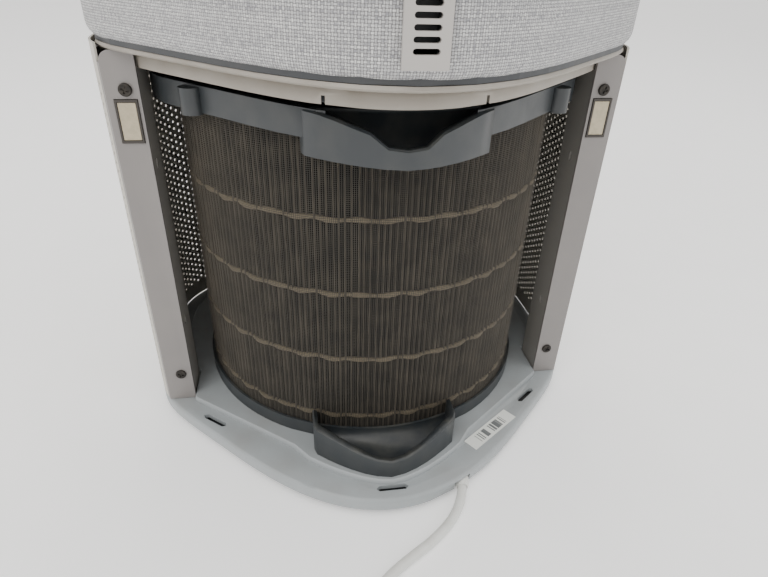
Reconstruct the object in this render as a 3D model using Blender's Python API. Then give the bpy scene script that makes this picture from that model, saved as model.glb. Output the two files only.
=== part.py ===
"""Free-standing air purifier, seen and serviced from its open corner (-Y).

Units are metres, +Z is up and the floor is z = 0.  The plan of the body is a
rounded square whose corners point along the X and Y axes; the corner towards
-Y is the one that the filter slides out of.
"""
import math

import bmesh
import bpy
from mathutils import Matrix, Vector

# ---------------------------------------------------------------- clearances
GAP = 0.0003                 # between pieces that rest on each other
RUNNING_GAP = 0.0020         # between the filter and the posts it passes

# ---------------------------------------------------------------- resolution
PLAN_POINTS = 48             # points around a rounded square
ROUND_POINTS = 36            # points around a large circle
SMALL_POINTS = 14            # points around a foot, a screw or a button

# ----------------------------------------------------------- overall outline
BODY_HALF = 0.1575           # half the distance across the flats
BODY_POWER = 3.2             # roundness of the lower body
FABRIC_HALF = BODY_HALF - 0.0010
FABRIC_POWER = 3.7           # the upper body is a little squarer
SIDE_BLEND = 24.0            # how crisply the corners run into the side faces
TOTAL_HEIGHT = 0.590
WIDER = BODY_HALF / 0.1575    # the share by which places on the body follow its width

# ---------------------------------------------------------------------- base
FOOT_HEIGHT = 0.0040
FOOT_RADIUS = 0.0100
FOOT_OFFSET = 0.0850
TRAY_BOTTOM = FOOT_HEIGHT
RIM_TOP = 0.0133
RIM_ROUND = 0.0020
TRAY_WALL = 0.0032
TRAY_SKIN = 0.0030
PLATFORM_TOP = 0.0170
PLATFORM_REAR_HALF = BODY_HALF - 0.0135
PLATFORM_CORNER_Y = -0.0770 * WIDER
LIP_HALF = 0.0460            # half the width of the filter's handles
PLATFORM_FLANK = (0.0590 * WIDER, -0.1315 * WIDER)
NOSE_BED_HALF = LIP_HALF + 0.0040
NOSE_BED_SIDE_Y = -0.1430 * WIDER
NOSE_BED_FRONT_Y = -0.1680 * WIDER
SLOT_LENGTH = 0.0200
SLOT_WIDTH = 0.0039
SIDE_SLOT = (0.1126 * WIDER, -0.0984 * WIDER)
SIDE_SLOT_TURN = math.radians(38.9)
FRONT_SLOT_Y = -0.1700 * WIDER
PLATE_THICKNESS = 0.0030
LABEL_SHIFT = LIP_HALF - 0.0460      # a wider handle pushes the label along the rim
LABEL_CENTRE = (0.0755 * WIDER + 0.81 * LABEL_SHIFT, -0.1295 * WIDER + 0.58 * LABEL_SHIFT)
LABEL_SIZE = (0.0455, 0.0104)

# --------------------------------------------------------------------- collar
COLLAR_BOTTOM = 0.2387
COLLAR_TOP = COLLAR_BOTTOM + 0.0120
COLLAR_HALF = 0.1410 * WIDER
COLLAR_WALL = 0.0030
COLLAR_BEAD_HALF = 0.1500 * WIDER
COLLAR_POWER = 3.8
COLLAR_SLIT_X = 0.0360
COLLAR_SLIT_SIZE = (0.0016, 0.0036)

# --------------------------------------------------------- posts and the wall
POST_FRONT_Y = -0.0730 * WIDER
POST_THICKNESS = 0.0022
POST_INNER_X = 0.1285 * WIDER
POST_LEG_DEPTH = 0.0150
POST_TOP = COLLAR_BOTTOM + 0.0089
POST_ROUND = 0.0060
WALL_THICKNESS = 0.0012
WALL_TOP = COLLAR_TOP
FLANGE_THICKNESS = 0.0018
FLANGE_DEPTH = 0.0240
FLANGE_SLOT_HEIGHTS = (0.0736, 0.1836)
POST_SCREW_HEIGHTS = (0.0358, 0.2280)
POST_SCREW_X = POST_INNER_X + 0.0071
SCREW_RADIUS = 0.0035
SCREW_HEAD = 0.0012
STRIKE_X = POST_INNER_X + 0.0079
STRIKE_Z = 0.2112
STRIKE_FRAME_SIZE = (0.0118, 0.0232)
STRIKE_PLATE_SIZE = (0.0092, 0.0200)
STRIKE_FRAME_PROUD = 0.0008

# ----------------------------------------------------------------- upper body
HOUSING_WALL = 0.0025
FABRIC_THICKNESS = 0.0025
HOUSING_TOP = TOTAL_HEIGHT - 0.0300
COVER_BOTTOM = TOTAL_HEIGHT - 0.0330
COVER_DECK = TOTAL_HEIGHT - 0.0020
COVER_DECK_THICKNESS = 0.0060
COVER_OPENING = FABRIC_HALF - 0.0225
COVER_LEDGE = COVER_OPENING - 0.0060
GRILLE_THICKNESS = 0.0040
GRILLE_SPOKES = 20
GRILLE_RINGS = (0.0240, 0.0300, COVER_OPENING - 0.0050, COVER_OPENING - 0.0005)
PANEL_SIZE = (0.0780, 0.0240, 0.0030)
PANEL_Y = FABRIC_HALF - 0.0035
BUTTON_RADIUS = 0.0060
BUTTON_SPACING = 0.0210
BUTTON_PROUD = 0.0013
BUTTON_TRAVEL = 0.0008

# ----------------------------------------------------------------- air sensor
SENSOR_PLATE_WIDTH = 0.0180
SENSOR_PLATE_BOTTOM = COLLAR_BOTTOM + 0.0188
SENSOR_PLATE_TOP = COLLAR_BOTTOM + 0.0693
SENSOR_PLATE_THICKNESS = 0.0022
SENSOR_SLOT_COUNT = 10
SENSOR_SLOT_PITCH = 0.0040
SENSOR_SLOT_LENGTH = 0.0104
SENSOR_SLOT_WIDTH = 0.0022
SENSOR_FIRST_SLOT = COLLAR_BOTTOM + 0.0253
SENSOR_BOX = (0.0290, 0.0220, 0.0380)

# --------------------------------------------------------- power supply board
BOARD_SIZE = 0.0700
BOARD_THICKNESS = 0.0016

# ------------------------------------------------------------------------ fan
FILTER_RADIUS = 0.1210       # the seal and the air inlet follow the cartridge
INLET_THICKNESS = 0.0030
SEAL_RADIUS = FILTER_RADIUS - 0.0350
SEAL_WIDTH = 0.0080
INLET_RADIUS = SEAL_RADIUS - SEAL_WIDTH
INLET_LIP_TOP = COLLAR_BOTTOM + 0.0213
DUCT_RADIUS = 0.1130
DUCT_TOP_RADIUS = COVER_LEDGE
DUCT_WALL = 0.0030
DUCT_FLARE = COLLAR_BOTTOM + 0.2013   # where the duct starts to widen
BOARD_X = DUCT_RADIUS + DUCT_WALL + 0.0066   # inner face of the power board, beside the duct
MOUNT_BOTTOM = COLLAR_BOTTOM + 0.1313
MOUNT_THICKNESS = 0.0060
MOUNT_ARMS = 4
MOTOR_RADIUS = 0.0400
MOTOR_HEIGHT = 0.0380
SHAFT_RADIUS = 0.0040
SHAFT_CLEARANCE = 0.00005
IMPELLER_RADIUS = 0.1000
IMPELLER_EYE = INLET_RADIUS + 0.0020
IMPELLER_BOTTOM = COLLAR_BOTTOM + 0.0273
IMPELLER_TOP = COLLAR_BOTTOM + 0.0793
IMPELLER_BLADES = 12

# --------------------------------------------------------------------- filter
FILTER_Y = -0.0120           # centre of the cartridge
CAP_RIM = 0.0016
CAP_BOTTOM = PLATFORM_TOP + GAP
CAP_SKIN = 0.0030
CAP_RIM_TOP = 0.0270
TOP_CAP_BOTTOM = COLLAR_BOTTOM - 0.0142
TOP_CAP_TOP = COLLAR_BOTTOM - 0.0047
TOP_CAP_DECK = COLLAR_BOTTOM - 0.0107
TOP_CAP_HALF = FILTER_RADIUS + 0.0120
TOP_CAP_POWER = 4.0
TOP_CAP_WALL = 0.0025
BUMP_Y = -0.0890
BUMP_HALF = 0.0060
LIP_SIDE_Y = -0.1415
LIP_FRONT_Y = -0.1655
LIP_BOW = 1.6
LIP_WALL = 0.0030
LIP_HEIGHT = 0.0212
LIP_DIP = 0.0085
LIP_ROOT_RADIUS = FILTER_RADIUS - CAP_RIM + 0.0008
TOP_LIP_BOTTOM = COLLAR_BOTTOM - 0.0262
NET_THICKNESS = 0.0004
MEDIA_DEPTH = 0.0360
CORE_THICKNESS = 0.0035

# ----------------------------------------------------------------------- cord
# The places along Y below are for a body half of 157.5 mm; a larger or
# smaller body carries the whole lead out or in with its front corner.
CORD_SHIFT = 1.14 * (0.1575 - BODY_HALF)
CORD_RADIUS = 0.0030
GLAND_RADIUS = 0.0046
GLAND_LENGTH = 0.0132
GLAND_HEIGHT = 0.0052
GLAND_OUTER = (0.0448, -0.1700 + CORD_SHIFT)
GLAND_INNER = (0.0478, -0.1560 + CORD_SHIFT)
CORD_ROUTE = (
    (0.0498, -0.1467, 0.0052),
    (0.0478, -0.1560, 0.0052),
    (0.0463, -0.1630, 0.0052),
    (0.0450, -0.1690, 0.0052),
    (0.0447, -0.1704, 0.0052),
    (0.0410, -0.1788, 0.0038),
    (0.0355, -0.1868, 0.0032),
    (0.0280, -0.1945, 0.0032),
    (0.0170, -0.2030, 0.0032),
    (0.0040, -0.2110, 0.0032),
    (-0.0100, -0.2205, 0.0032),
    (-0.0230, -0.2330, 0.0032),
    (-0.0335, -0.2470, 0.0032),
    (-0.0450, -0.2620, 0.0032),
    (-0.0499, -0.2730, 0.0032),
)
COIL_CENTRE = (-0.0020, -0.2900 + CORD_SHIFT)
COIL_MEAN_RADIUS = 0.0350
COIL_WIDTH = 0.0245
COIL_HEIGHT = 0.0123
TAIL_ROUTE = (
    (0.0162, -0.3376, 0.0032),
    (0.0272, -0.3345, 0.0034),
    (0.0370, -0.3310, 0.0046),
    (0.0460, -0.3265, 0.0064),
    (0.0560, -0.3250, 0.0075),
    (0.0657, -0.3250, 0.0075),
)
PLUG_LENGTH = 0.0380
PLUG_HALF_WIDTH = 0.0175
PLUG_HALF_HEIGHT = 0.0070
PLUG_PIN_SPACING = 0.0186
PLUG_PIN_RADIUS = 0.0020
PLUG_PIN_LENGTH = 0.0190

SHADED_ROUND = math.radians(35.0)


# ------------------------------------------------------------------ materials
def material(name, colour, roughness, metallic=0.0):
    """Return the named material, made the first time it is asked for."""
    made = bpy.data.materials.get(name)
    if made is None:
        made = bpy.data.materials.new(name)
        made.use_nodes = True
        shader = made.node_tree.nodes["Principled BSDF"]
        shader.inputs["Base Color"].default_value = (*colour, 1.0)
        shader.inputs["Roughness"].default_value = roughness
        shader.inputs["Metallic"].default_value = metallic
        made.diffuse_color = (*colour, 1.0)
    return made


TRAY_GREY = ("tray plastic", (0.42, 0.43, 0.45), 0.45)
POST_GREY = ("post plastic", (0.27, 0.26, 0.25), 0.5)
FLANGE_GREY = ("flange plastic", (0.075, 0.068, 0.06), 0.55)
WALL_GREY = ("perforated sheet", (0.33, 0.32, 0.31), 0.5)
COLLAR_GREY = ("collar plastic", (0.43, 0.41, 0.39), 0.45)
FABRIC_GREY = ("woven fabric", (0.40, 0.40, 0.41), 0.9)
COVER_GREY = ("cover plastic", (0.50, 0.50, 0.50), 0.4)
CAP_BLUE = ("cap plastic", (0.055, 0.07, 0.082), 0.45)
INNER_GREY = ("inner plastic", (0.06, 0.06, 0.065), 0.5)
MEDIA_BROWN = ("filter paper", (0.05, 0.043, 0.033), 0.9)
CARBON = ("carbon mesh", (0.02, 0.02, 0.02), 0.9)
NET_GREY = ("net", (0.03, 0.03, 0.03), 0.8)
RUBBER = ("rubber", (0.03, 0.03, 0.03), 0.8)
FOAM = ("foam seal", (0.05, 0.05, 0.05), 0.95)
CORD_WHITE = ("cord sleeve", (0.60, 0.60, 0.58), 0.5)
STEEL = ("steel", (0.50, 0.50, 0.50), 0.35, 1.0)
SCREW_BLACK = ("blackened steel", (0.03, 0.03, 0.03), 0.4, 1.0)
STRIKE_TAN = ("strike plate", (0.42, 0.39, 0.33), 0.5)
BOARD_GREEN = ("circuit board", (0.02, 0.12, 0.05), 0.5)
PAPER_WHITE = ("label paper", (0.70, 0.70, 0.70), 0.6)


# -------------------------------------------------------------------- outline
def plan_radius(half, power, turn):
    """Reach of the rounded square, its left and right corners flattened into side faces."""
    across = abs(math.cos(turn - math.pi / 4.0))
    along = abs(math.sin(turn - math.pi / 4.0))
    corner = half / (across ** power + along ** power) ** (1.0 / power)
    sideways = abs(math.sin(turn)) / half
    return (corner ** -SIDE_BLEND + sideways ** SIDE_BLEND) ** (-1.0 / SIDE_BLEND)


def plan(half, power=BODY_POWER, z=0.0, start=0.0, end=math.tau, count=PLAN_POINTS):
    """Points of a rounded square; turn 0 is the corner at -Y, then towards +X."""
    closed = math.isclose(end - start, math.tau)
    steps = count if closed else count - 1
    points = []
    for index in range(count):
        turn = start + (end - start) * index / steps
        radius = plan_radius(half, power, turn)
        points.append((radius * math.sin(turn), -radius * math.cos(turn), z))
    return points


def plan_turn_at(half, power, y):
    """The turn, on the +X side, at which a rounded square reaches the given y."""
    low, high = 0.0, math.pi
    for _ in range(60):
        middle = (low + high) / 2.0
        if -plan_radius(half, power, middle) * math.cos(middle) < y:
            low = middle
        else:
            high = middle
    return low


def plan_x_at(half, power, y):
    turn = plan_turn_at(half, power, y)
    return plan_radius(half, power, turn) * math.sin(turn)


def circle(radius, z=0.0, centre=(0.0, 0.0), count=ROUND_POINTS):
    points = []
    for index in range(count):
        turn = math.tau * index / count
        points.append((centre[0] + radius * math.sin(turn), centre[1] - radius * math.cos(turn), z))
    return points


# ------------------------------------------------------------------ modelling
def add_object(name, mesh, look):
    made = bpy.data.objects.new(name, mesh)
    bpy.context.scene.collection.objects.link(made)
    mesh.materials.append(material(*look))
    mesh.shade_smooth()
    mesh.set_sharp_from_angle(angle=SHADED_ROUND)
    return made


def solid(name, points, faces, look):
    """Make an object from points and faces, its faces turned outwards."""
    mesh = bpy.data.meshes.new(name)
    shape = bmesh.new()
    corners = [shape.verts.new(point) for point in points]
    for face in faces:
        shape.faces.new([corners[index] for index in face])
    bmesh.ops.recalc_face_normals(shape, faces=shape.faces[:])
    shape.to_mesh(mesh)
    shape.free()
    return add_object(name, mesh, look)


def loft(name, rings, look, looped=False):
    """Skin a row of equal rings: capped at both ends, or looped into a hollow ring."""
    count = len(rings[0])
    points = [point for ring in rings for point in ring]
    pairs = len(rings) if looped else len(rings) - 1
    faces = []
    for level in range(pairs):
        below = level * count
        above = ((level + 1) % len(rings)) * count
        for index in range(count):
            following = (index + 1) % count
            faces.append((below + index, below + following, above + following, above + index))
    if not looped:
        faces.append(tuple(range(count)))
        faces.append(tuple(range((len(rings) - 1) * count, len(rings) * count)))
    return solid(name, points, faces, look)


def prism(name, corners, low, high, look):
    """Stand a flat outline up between two heights."""
    return loft(name, [[(x, y, z) for x, y in corners] for z in (low, high)], look)


def box(name, low, high, look, bevel=0.0):
    corners = ((low[0], low[1]), (high[0], low[1]), (high[0], high[1]), (low[0], high[1]))
    made = prism(name, corners, low[2], high[2], look)
    if bevel:
        soften(made, bevel)
    return made


def soften(made, width, segments=1):
    bevel = made.modifiers.new("edges", "BEVEL")
    bevel.width = width
    bevel.segments = segments
    bevel.limit_method = "ANGLE"


def turned(name, profile, look, centre=(0.0, 0.0), count=ROUND_POINTS, looped=True):
    """Turn a profile of (radius, height) about a vertical axis."""
    return loft(name, [circle(r, z, centre, count) for r, z in profile], look, looped)


def boolean(made, other, operation):
    """Cut away or add another object, which then only guides the shape."""
    step = made.modifiers.new(operation.lower(), "BOOLEAN")
    step.operation = operation
    step.object = other
    other.hide_render = True
    other.display_type = "WIRE"


def cut(made, *others):
    for other in others:
        boolean(made, other, "DIFFERENCE")


def add(made, *others):
    for other in others:
        boolean(made, other, "UNION")


def wheel(name, radii, spokes, spoke_share, bottom, thickness, look, per_spoke=4):
    """A flat wheel: rings between pairs of radii, joined by spokes of one mesh."""
    sectors = spokes * per_spoke
    turns = []
    for index in range(sectors):
        share = index % per_spoke
        base = index // per_spoke
        if share == 0:
            offset = 0.0
        else:
            offset = spoke_share + (1.0 - spoke_share) * (share - 1) / (per_spoke - 1)
        turns.append(math.tau * (base + offset) / spokes)
    points = []
    for z in (bottom, bottom + thickness):
        for radius in radii:
            for turn in turns:
                points.append((radius * math.sin(turn), -radius * math.cos(turn), z))
    layer = len(radii) * sectors

    def filled(ring, sector):
        if ring < 0 or ring >= len(radii) - 1:
            return False
        return ring % 2 == 0 or sector % per_spoke == 0

    faces = []
    for ring in range(len(radii) - 1):
        for sector in range(sectors):
            if not filled(ring, sector):
                continue
            after = (sector + 1) % sectors
            a = ring * sectors + sector
            b = ring * sectors + after
            c = (ring + 1) * sectors + after
            d = (ring + 1) * sectors + sector
            faces.append((a, b, c, d))
            faces.append((d + layer, c + layer, b + layer, a + layer))
            if not filled(ring - 1, sector):
                faces.append((a, b, b + layer, a + layer))
            if not filled(ring + 1, sector):
                faces.append((d, c, c + layer, d + layer))
            if not filled(ring, (sector - 1) % sectors):
                faces.append((a, d, d + layer, a + layer))
            if not filled(ring, after):
                faces.append((b, c, c + layer, b + layer))
    return solid(name, points, faces, look)


def capsule(name, length, width, thickness, look, centre, turn=Matrix.Identity(3), ends=6):
    """A slot-shaped block: long along its local X, thick along its local Z."""
    outline = []
    for side in (1.0, -1.0):
        for index in range(ends + 1):
            angle = -math.pi / 2.0 + math.pi * index / ends
            x = side * ((length - width) / 2.0 + math.cos(angle) * width / 2.0)
            outline.append((x, side * math.sin(angle) * width / 2.0))
    rings = []
    for z in (-thickness / 2.0, thickness / 2.0):
        rings.append([tuple(turn @ Vector((x, y, z)) + Vector(centre)) for x, y in outline])
    return loft(name, rings, look)


def smooth_route(route, spacing):
    """Read points at an even spacing from the smooth curve through a route."""
    stations = [Vector(point) for point in route]
    stations = [2 * stations[0] - stations[1]] + stations + [2 * stations[-1] - stations[-2]]
    fine = []
    for index in range(1, len(stations) - 2):
        p0, p1, p2, p3 = stations[index - 1:index + 3]
        for step in range(24):
            t = step / 24.0
            fine.append(0.5 * ((2 * p1) + (p2 - p0) * t + (2 * p0 - 5 * p1 + 4 * p2 - p3) * t ** 2
                               + (3 * p1 - p0 - 3 * p2 + p3) * t ** 3))
    fine.append(stations[-2])
    total = sum((b - a).length for a, b in zip(fine, fine[1:]))
    count = round(total / spacing)
    points = [fine[0]]
    walked = 0.0
    for a, b in zip(fine, fine[1:]):
        walked += (b - a).length
        if walked >= total * len(points) / count and len(points) < count:
            points.append(b)
    points.append(fine[-1])
    return points


def tube(name, route, radius, look):
    """A cord: a curve with a round bevel and closed ends."""
    curve = bpy.data.curves.new(name, "CURVE")
    curve.dimensions = "3D"
    curve.bevel_depth = radius
    curve.bevel_resolution = 2
    curve.use_fill_caps = True
    points = smooth_route(route, radius * 4.0)
    spline = curve.splines.new("POLY")
    spline.points.add(len(points) - 1)
    for station, point in zip(spline.points, points):
        station.co = (*point, 1.0)
    curve.materials.append(material(*look))
    made = bpy.data.objects.new(name, curve)
    bpy.context.scene.collection.objects.link(made)
    return made


# ----------------------------------------------------------------------- base
def platform_corners():
    """Outline of the raised bed: a rounded square behind, flat flanks, a bowed nose."""
    half = []
    for index in range(9):
        x = NOSE_BED_HALF * index / 8.0
        rise = (NOSE_BED_SIDE_Y - NOSE_BED_FRONT_Y) * (x / NOSE_BED_HALF) ** LIP_BOW
        half.append((x, NOSE_BED_FRONT_Y + rise))
    half.append(PLATFORM_FLANK)
    behind = POST_FRONT_Y + POST_THICKNESS + FLANGE_DEPTH + 0.002
    half.append((POST_INNER_X - GAP, PLATFORM_CORNER_Y))
    half.append((POST_INNER_X - GAP, behind))
    first = plan_turn_at(PLATFORM_REAR_HALF, BODY_POWER, behind)
    for x, y, _ in plan(PLATFORM_REAR_HALF, BODY_POWER, 0.0, first, math.pi, 22):
        half.append((max(x, 0.0), y))
    mirrored = [(-x, y) for x, y in half[-2:0:-1]]
    return half + mirrored


def make_base():
    inside = BODY_HALF - TRAY_WALL
    tray = loft("base_tray", [
        plan(inside, z=RIM_TOP - TRAY_SKIN),
        plan(inside, z=TRAY_BOTTOM),
        plan(BODY_HALF - 0.0006, z=TRAY_BOTTOM),
        plan(BODY_HALF, z=TRAY_BOTTOM + 0.0010),
        plan(BODY_HALF, z=RIM_TOP - RIM_ROUND),
        plan(BODY_HALF - 0.3 * RIM_ROUND, z=RIM_TOP - 0.3 * RIM_ROUND),
        plan(BODY_HALF - RIM_ROUND, z=RIM_TOP),
    ], TRAY_GREY)
    platform = prism("platform_guide", platform_corners(), RIM_TOP - TRAY_SKIN / 2.0, PLATFORM_TOP,
                     TRAY_GREY)
    soften(platform, 0.0010)
    add(tray, platform)
    for side in (-1.0, 1.0):
        slot = capsule("door_slot_guide", SLOT_LENGTH, SLOT_WIDTH, 0.02, TRAY_GREY,
                       (side * SIDE_SLOT[0], SIDE_SLOT[1], RIM_TOP),
                       Matrix.Rotation(side * SIDE_SLOT_TURN, 3, "Z"), 2)
        cut(tray, slot)
    cut(tray, capsule("front_slot_guide", SLOT_LENGTH, SLOT_WIDTH, 0.02, TRAY_GREY,
                      (0.0, FRONT_SLOT_Y, RIM_TOP), ends=2))
    cut(tray, cord_notch("tray_notch_guide"))

    plate = loft("base_plate", [
        plan(inside - GAP, z=FOOT_HEIGHT + GAP),
        plan(inside - GAP, z=FOOT_HEIGHT + GAP + PLATE_THICKNESS),
    ], INNER_GREY)
    cut(plate, cord_notch("plate_notch_guide"))

    for number, (x, y) in enumerate(((1, 1), (-1, 1), (-1, -1), (1, -1)), 1):
        turned(f"foot_{number}", [
            (FOOT_RADIUS - 0.0006, 0.0), (FOOT_RADIUS, 0.0006), (FOOT_RADIUS, FOOT_HEIGHT),
        ], RUBBER, (x * FOOT_OFFSET, y * FOOT_OFFSET), SMALL_POINTS, looped=False)


def gland_axis():
    return (Vector(GLAND_OUTER) - Vector(GLAND_INNER)).normalized()


def cord_notch(name):
    """A slot up from below, as wide as the strain relief."""
    forward = gland_axis().to_3d()
    side = Vector((-forward.y, forward.x, 0.0))
    start = Vector((*GLAND_INNER, 0.0)) - forward * 0.012
    end = Vector((*GLAND_OUTER, 0.0)) + forward * 0.010
    half = GLAND_RADIUS + GAP
    corners = []
    for point, sign in ((start, -1.0), (end, -1.0), (end, 1.0), (start, 1.0)):
        corner = point + side * sign * half
        corners.append((corner.x, corner.y))
    return prism(name, corners, -0.001, GLAND_HEIGHT + GLAND_RADIUS + GAP, TRAY_GREY)


# ---------------------------------------------------------------------- posts
def make_post(name, side):
    front, back = POST_FRONT_Y, POST_FRONT_Y + POST_THICKNESS
    leg_end = back + POST_LEG_DEPTH
    outer = BODY_HALF
    nested = BODY_HALF - WALL_THICKNESS - 2.0 * GAP
    inner = nested - POST_THICKNESS
    corners = [
        (POST_INNER_X, front),
        (plan_x_at(outer, BODY_POWER, front), front),
        (plan_x_at(outer, BODY_POWER, back), back),
        (plan_x_at(nested, BODY_POWER, back), back),
        (plan_x_at(nested, BODY_POWER, leg_end), leg_end),
        (plan_x_at(inner, BODY_POWER, leg_end), leg_end),
        (plan_x_at(inner, BODY_POWER, back), back),
        (POST_INNER_X, back),
    ]
    post = prism(name, [(side * x, y) for x, y in corners], RIM_TOP + GAP, POST_TOP, POST_GREY)
    recess_low = [side * STRIKE_X - STRIKE_FRAME_SIZE[0] / 2.0 - GAP, front - 0.001,
                  STRIKE_Z - STRIKE_FRAME_SIZE[1] / 2.0 - GAP]
    recess_high = [side * STRIKE_X + STRIKE_FRAME_SIZE[0] / 2.0 + GAP, back + 0.001,
                   STRIKE_Z + STRIKE_FRAME_SIZE[1] / 2.0 + GAP]
    cut(post, box(name + "_window_guide", recess_low, recess_high, POST_GREY))
    cut(post, rounding(name + "_corner_guide", side, plan_x_at(outer, BODY_POWER, front)))
    soften(post, 0.0006)
    return post


def rounding(name, side, outer_x):
    """What is cut from a post's upper outer corner to round it."""
    corners = [(outer_x + 0.002, POST_TOP + 0.002), (outer_x + 0.002, POST_TOP - POST_ROUND)]
    for index in range(7):
        turn = math.pi / 2.0 * index / 6.0
        corners.append((outer_x - POST_ROUND * (1.0 - math.cos(turn)),
                        POST_TOP - POST_ROUND * (1.0 - math.sin(turn))))
    corners.append((outer_x - POST_ROUND, POST_TOP + 0.002))
    rings = []
    for y in (POST_FRONT_Y - 0.001, POST_FRONT_Y + POST_THICKNESS + POST_LEG_DEPTH + 0.001):
        rings.append([(side * x, y, z) for x, z in corners])
    return loft(name, rings, POST_GREY)


def make_strike(name, side):
    """A magnet's keeper: a dark frame in the post's window and a plate in the frame."""
    x = side * STRIKE_X
    front = POST_FRONT_Y - STRIKE_FRAME_PROUD
    back = POST_FRONT_Y + POST_THICKNESS
    half_x, half_z = STRIKE_FRAME_SIZE[0] / 2.0, STRIKE_FRAME_SIZE[1] / 2.0
    frame = box(f"strike_frame_{name}", (x - half_x, front, STRIKE_Z - half_z),
                (x + half_x, back, STRIKE_Z + half_z), FLANGE_GREY)
    half_x, half_z = STRIKE_PLATE_SIZE[0] / 2.0, STRIKE_PLATE_SIZE[1] / 2.0
    cut(frame, box(f"strike_pocket_{name}_guide", (x - half_x - GAP, front - 0.001, STRIKE_Z - half_z - GAP),
                   (x + half_x + GAP, front + 0.0018, STRIKE_Z + half_z + GAP), FLANGE_GREY))
    box(f"strike_plate_{name}", (x - half_x, front + 0.0004, STRIKE_Z - half_z),
        (x + half_x, front + 0.0018 - GAP, STRIKE_Z + half_z), STRIKE_TAN)


def make_flange(name, side):
    """The dark strip that runs back from the inner edge of a post."""
    inner = POST_INNER_X + 0.0006
    outer = inner + FLANGE_THICKNESS
    low = POST_FRONT_Y + POST_THICKNESS + GAP
    high = low + FLANGE_DEPTH
    edges = sorted((side * inner, side * outer))
    flange = box(f"post_flange_{name}", (edges[0], low, RIM_TOP + GAP),
                 (edges[1], high, COLLAR_BOTTOM - GAP), FLANGE_GREY)
    for height in FLANGE_SLOT_HEIGHTS:
        cut(flange, box(f"flange_slot_{name}_guide", (edges[0] - 0.001, low + 0.008, height - 0.0030),
                        (edges[1] + 0.001, low + 0.0105, height + 0.0030), FLANGE_GREY))


def make_wall():
    """The perforated sheet that wraps the rear of the filter bay, post to post."""
    front = POST_FRONT_Y + POST_THICKNESS + GAP
    start = plan_turn_at(BODY_HALF, BODY_POWER, front)
    end = math.tau - start
    inside = BODY_HALF - WALL_THICKNESS
    low, high = RIM_TOP + GAP, WALL_TOP
    rims = [plan(half, BODY_POWER, z, start, end, 61)
            for half, z in ((BODY_HALF, low), (BODY_HALF, high), (inside, high), (inside, low))]
    sections = [[rim[index] for rim in rims] for index in range(61)]
    loft("perforated_wall", sections, WALL_GREY)


def screw(name, x, z):
    """A round-headed screw, driven along +Y into a post."""
    seat = POST_FRONT_Y - GAP
    profile = ((SCREW_RADIUS, seat), (SCREW_RADIUS * 0.90, seat - SCREW_HEAD * 0.7),
               (SCREW_RADIUS * 0.60, seat - SCREW_HEAD), (SCREW_RADIUS * 0.34, seat - SCREW_HEAD),
               (SCREW_RADIUS * 0.28, seat - SCREW_HEAD * 0.35))
    rings = []
    for radius, y in profile:
        ring = []
        for index in range(SMALL_POINTS):
            turn = math.tau * index / SMALL_POINTS
            ring.append((x + radius * math.cos(turn), y, z + radius * math.sin(turn)))
        rings.append(ring)
    loft(name, rings, SCREW_BLACK)


def make_posts():
    for name, side in (("left", -1.0), ("right", 1.0)):
        make_post(f"post_{name}", side)
        make_strike(name, side)
        make_flange(name, side)
        for level, height in zip(("low", "high"), POST_SCREW_HEIGHTS):
            screw(f"post_screw_{name}_{level}", side * POST_SCREW_X, height)
    make_wall()


# --------------------------------------------------------------------- collar
def make_collar():
    inner = COLLAR_HALF - COLLAR_WALL
    profile = (
        (inner, COLLAR_BOTTOM), (COLLAR_HALF, COLLAR_BOTTOM), (COLLAR_HALF, COLLAR_TOP - 0.0067),
        (COLLAR_HALF - 0.0013, COLLAR_TOP - 0.0052), (COLLAR_HALF, COLLAR_TOP - 0.0027),
        (COLLAR_BEAD_HALF, COLLAR_TOP - 0.0024), (COLLAR_BEAD_HALF + 0.0008, COLLAR_TOP - 0.0013),
        (COLLAR_BEAD_HALF, COLLAR_TOP), (inner, COLLAR_TOP),
    )
    collar = loft("collar_ring", [plan(half, COLLAR_POWER, z) for half, z in profile], COLLAR_GREY, True)
    front = -plan_radius(COLLAR_HALF, COLLAR_POWER, math.atan2(COLLAR_SLIT_X, 0.150))
    for name, side in (("left", -1.0), ("right", 1.0)):
        x = side * COLLAR_SLIT_X
        cut(collar, box(f"collar_slit_{name}_guide",
                        (x - COLLAR_SLIT_SIZE[0] / 2.0, front - 0.010, COLLAR_BOTTOM - 0.001),
                        (x + COLLAR_SLIT_SIZE[0] / 2.0, front + 0.030, COLLAR_BOTTOM + COLLAR_SLIT_SIZE[1]),
                        COLLAR_GREY))


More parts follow.
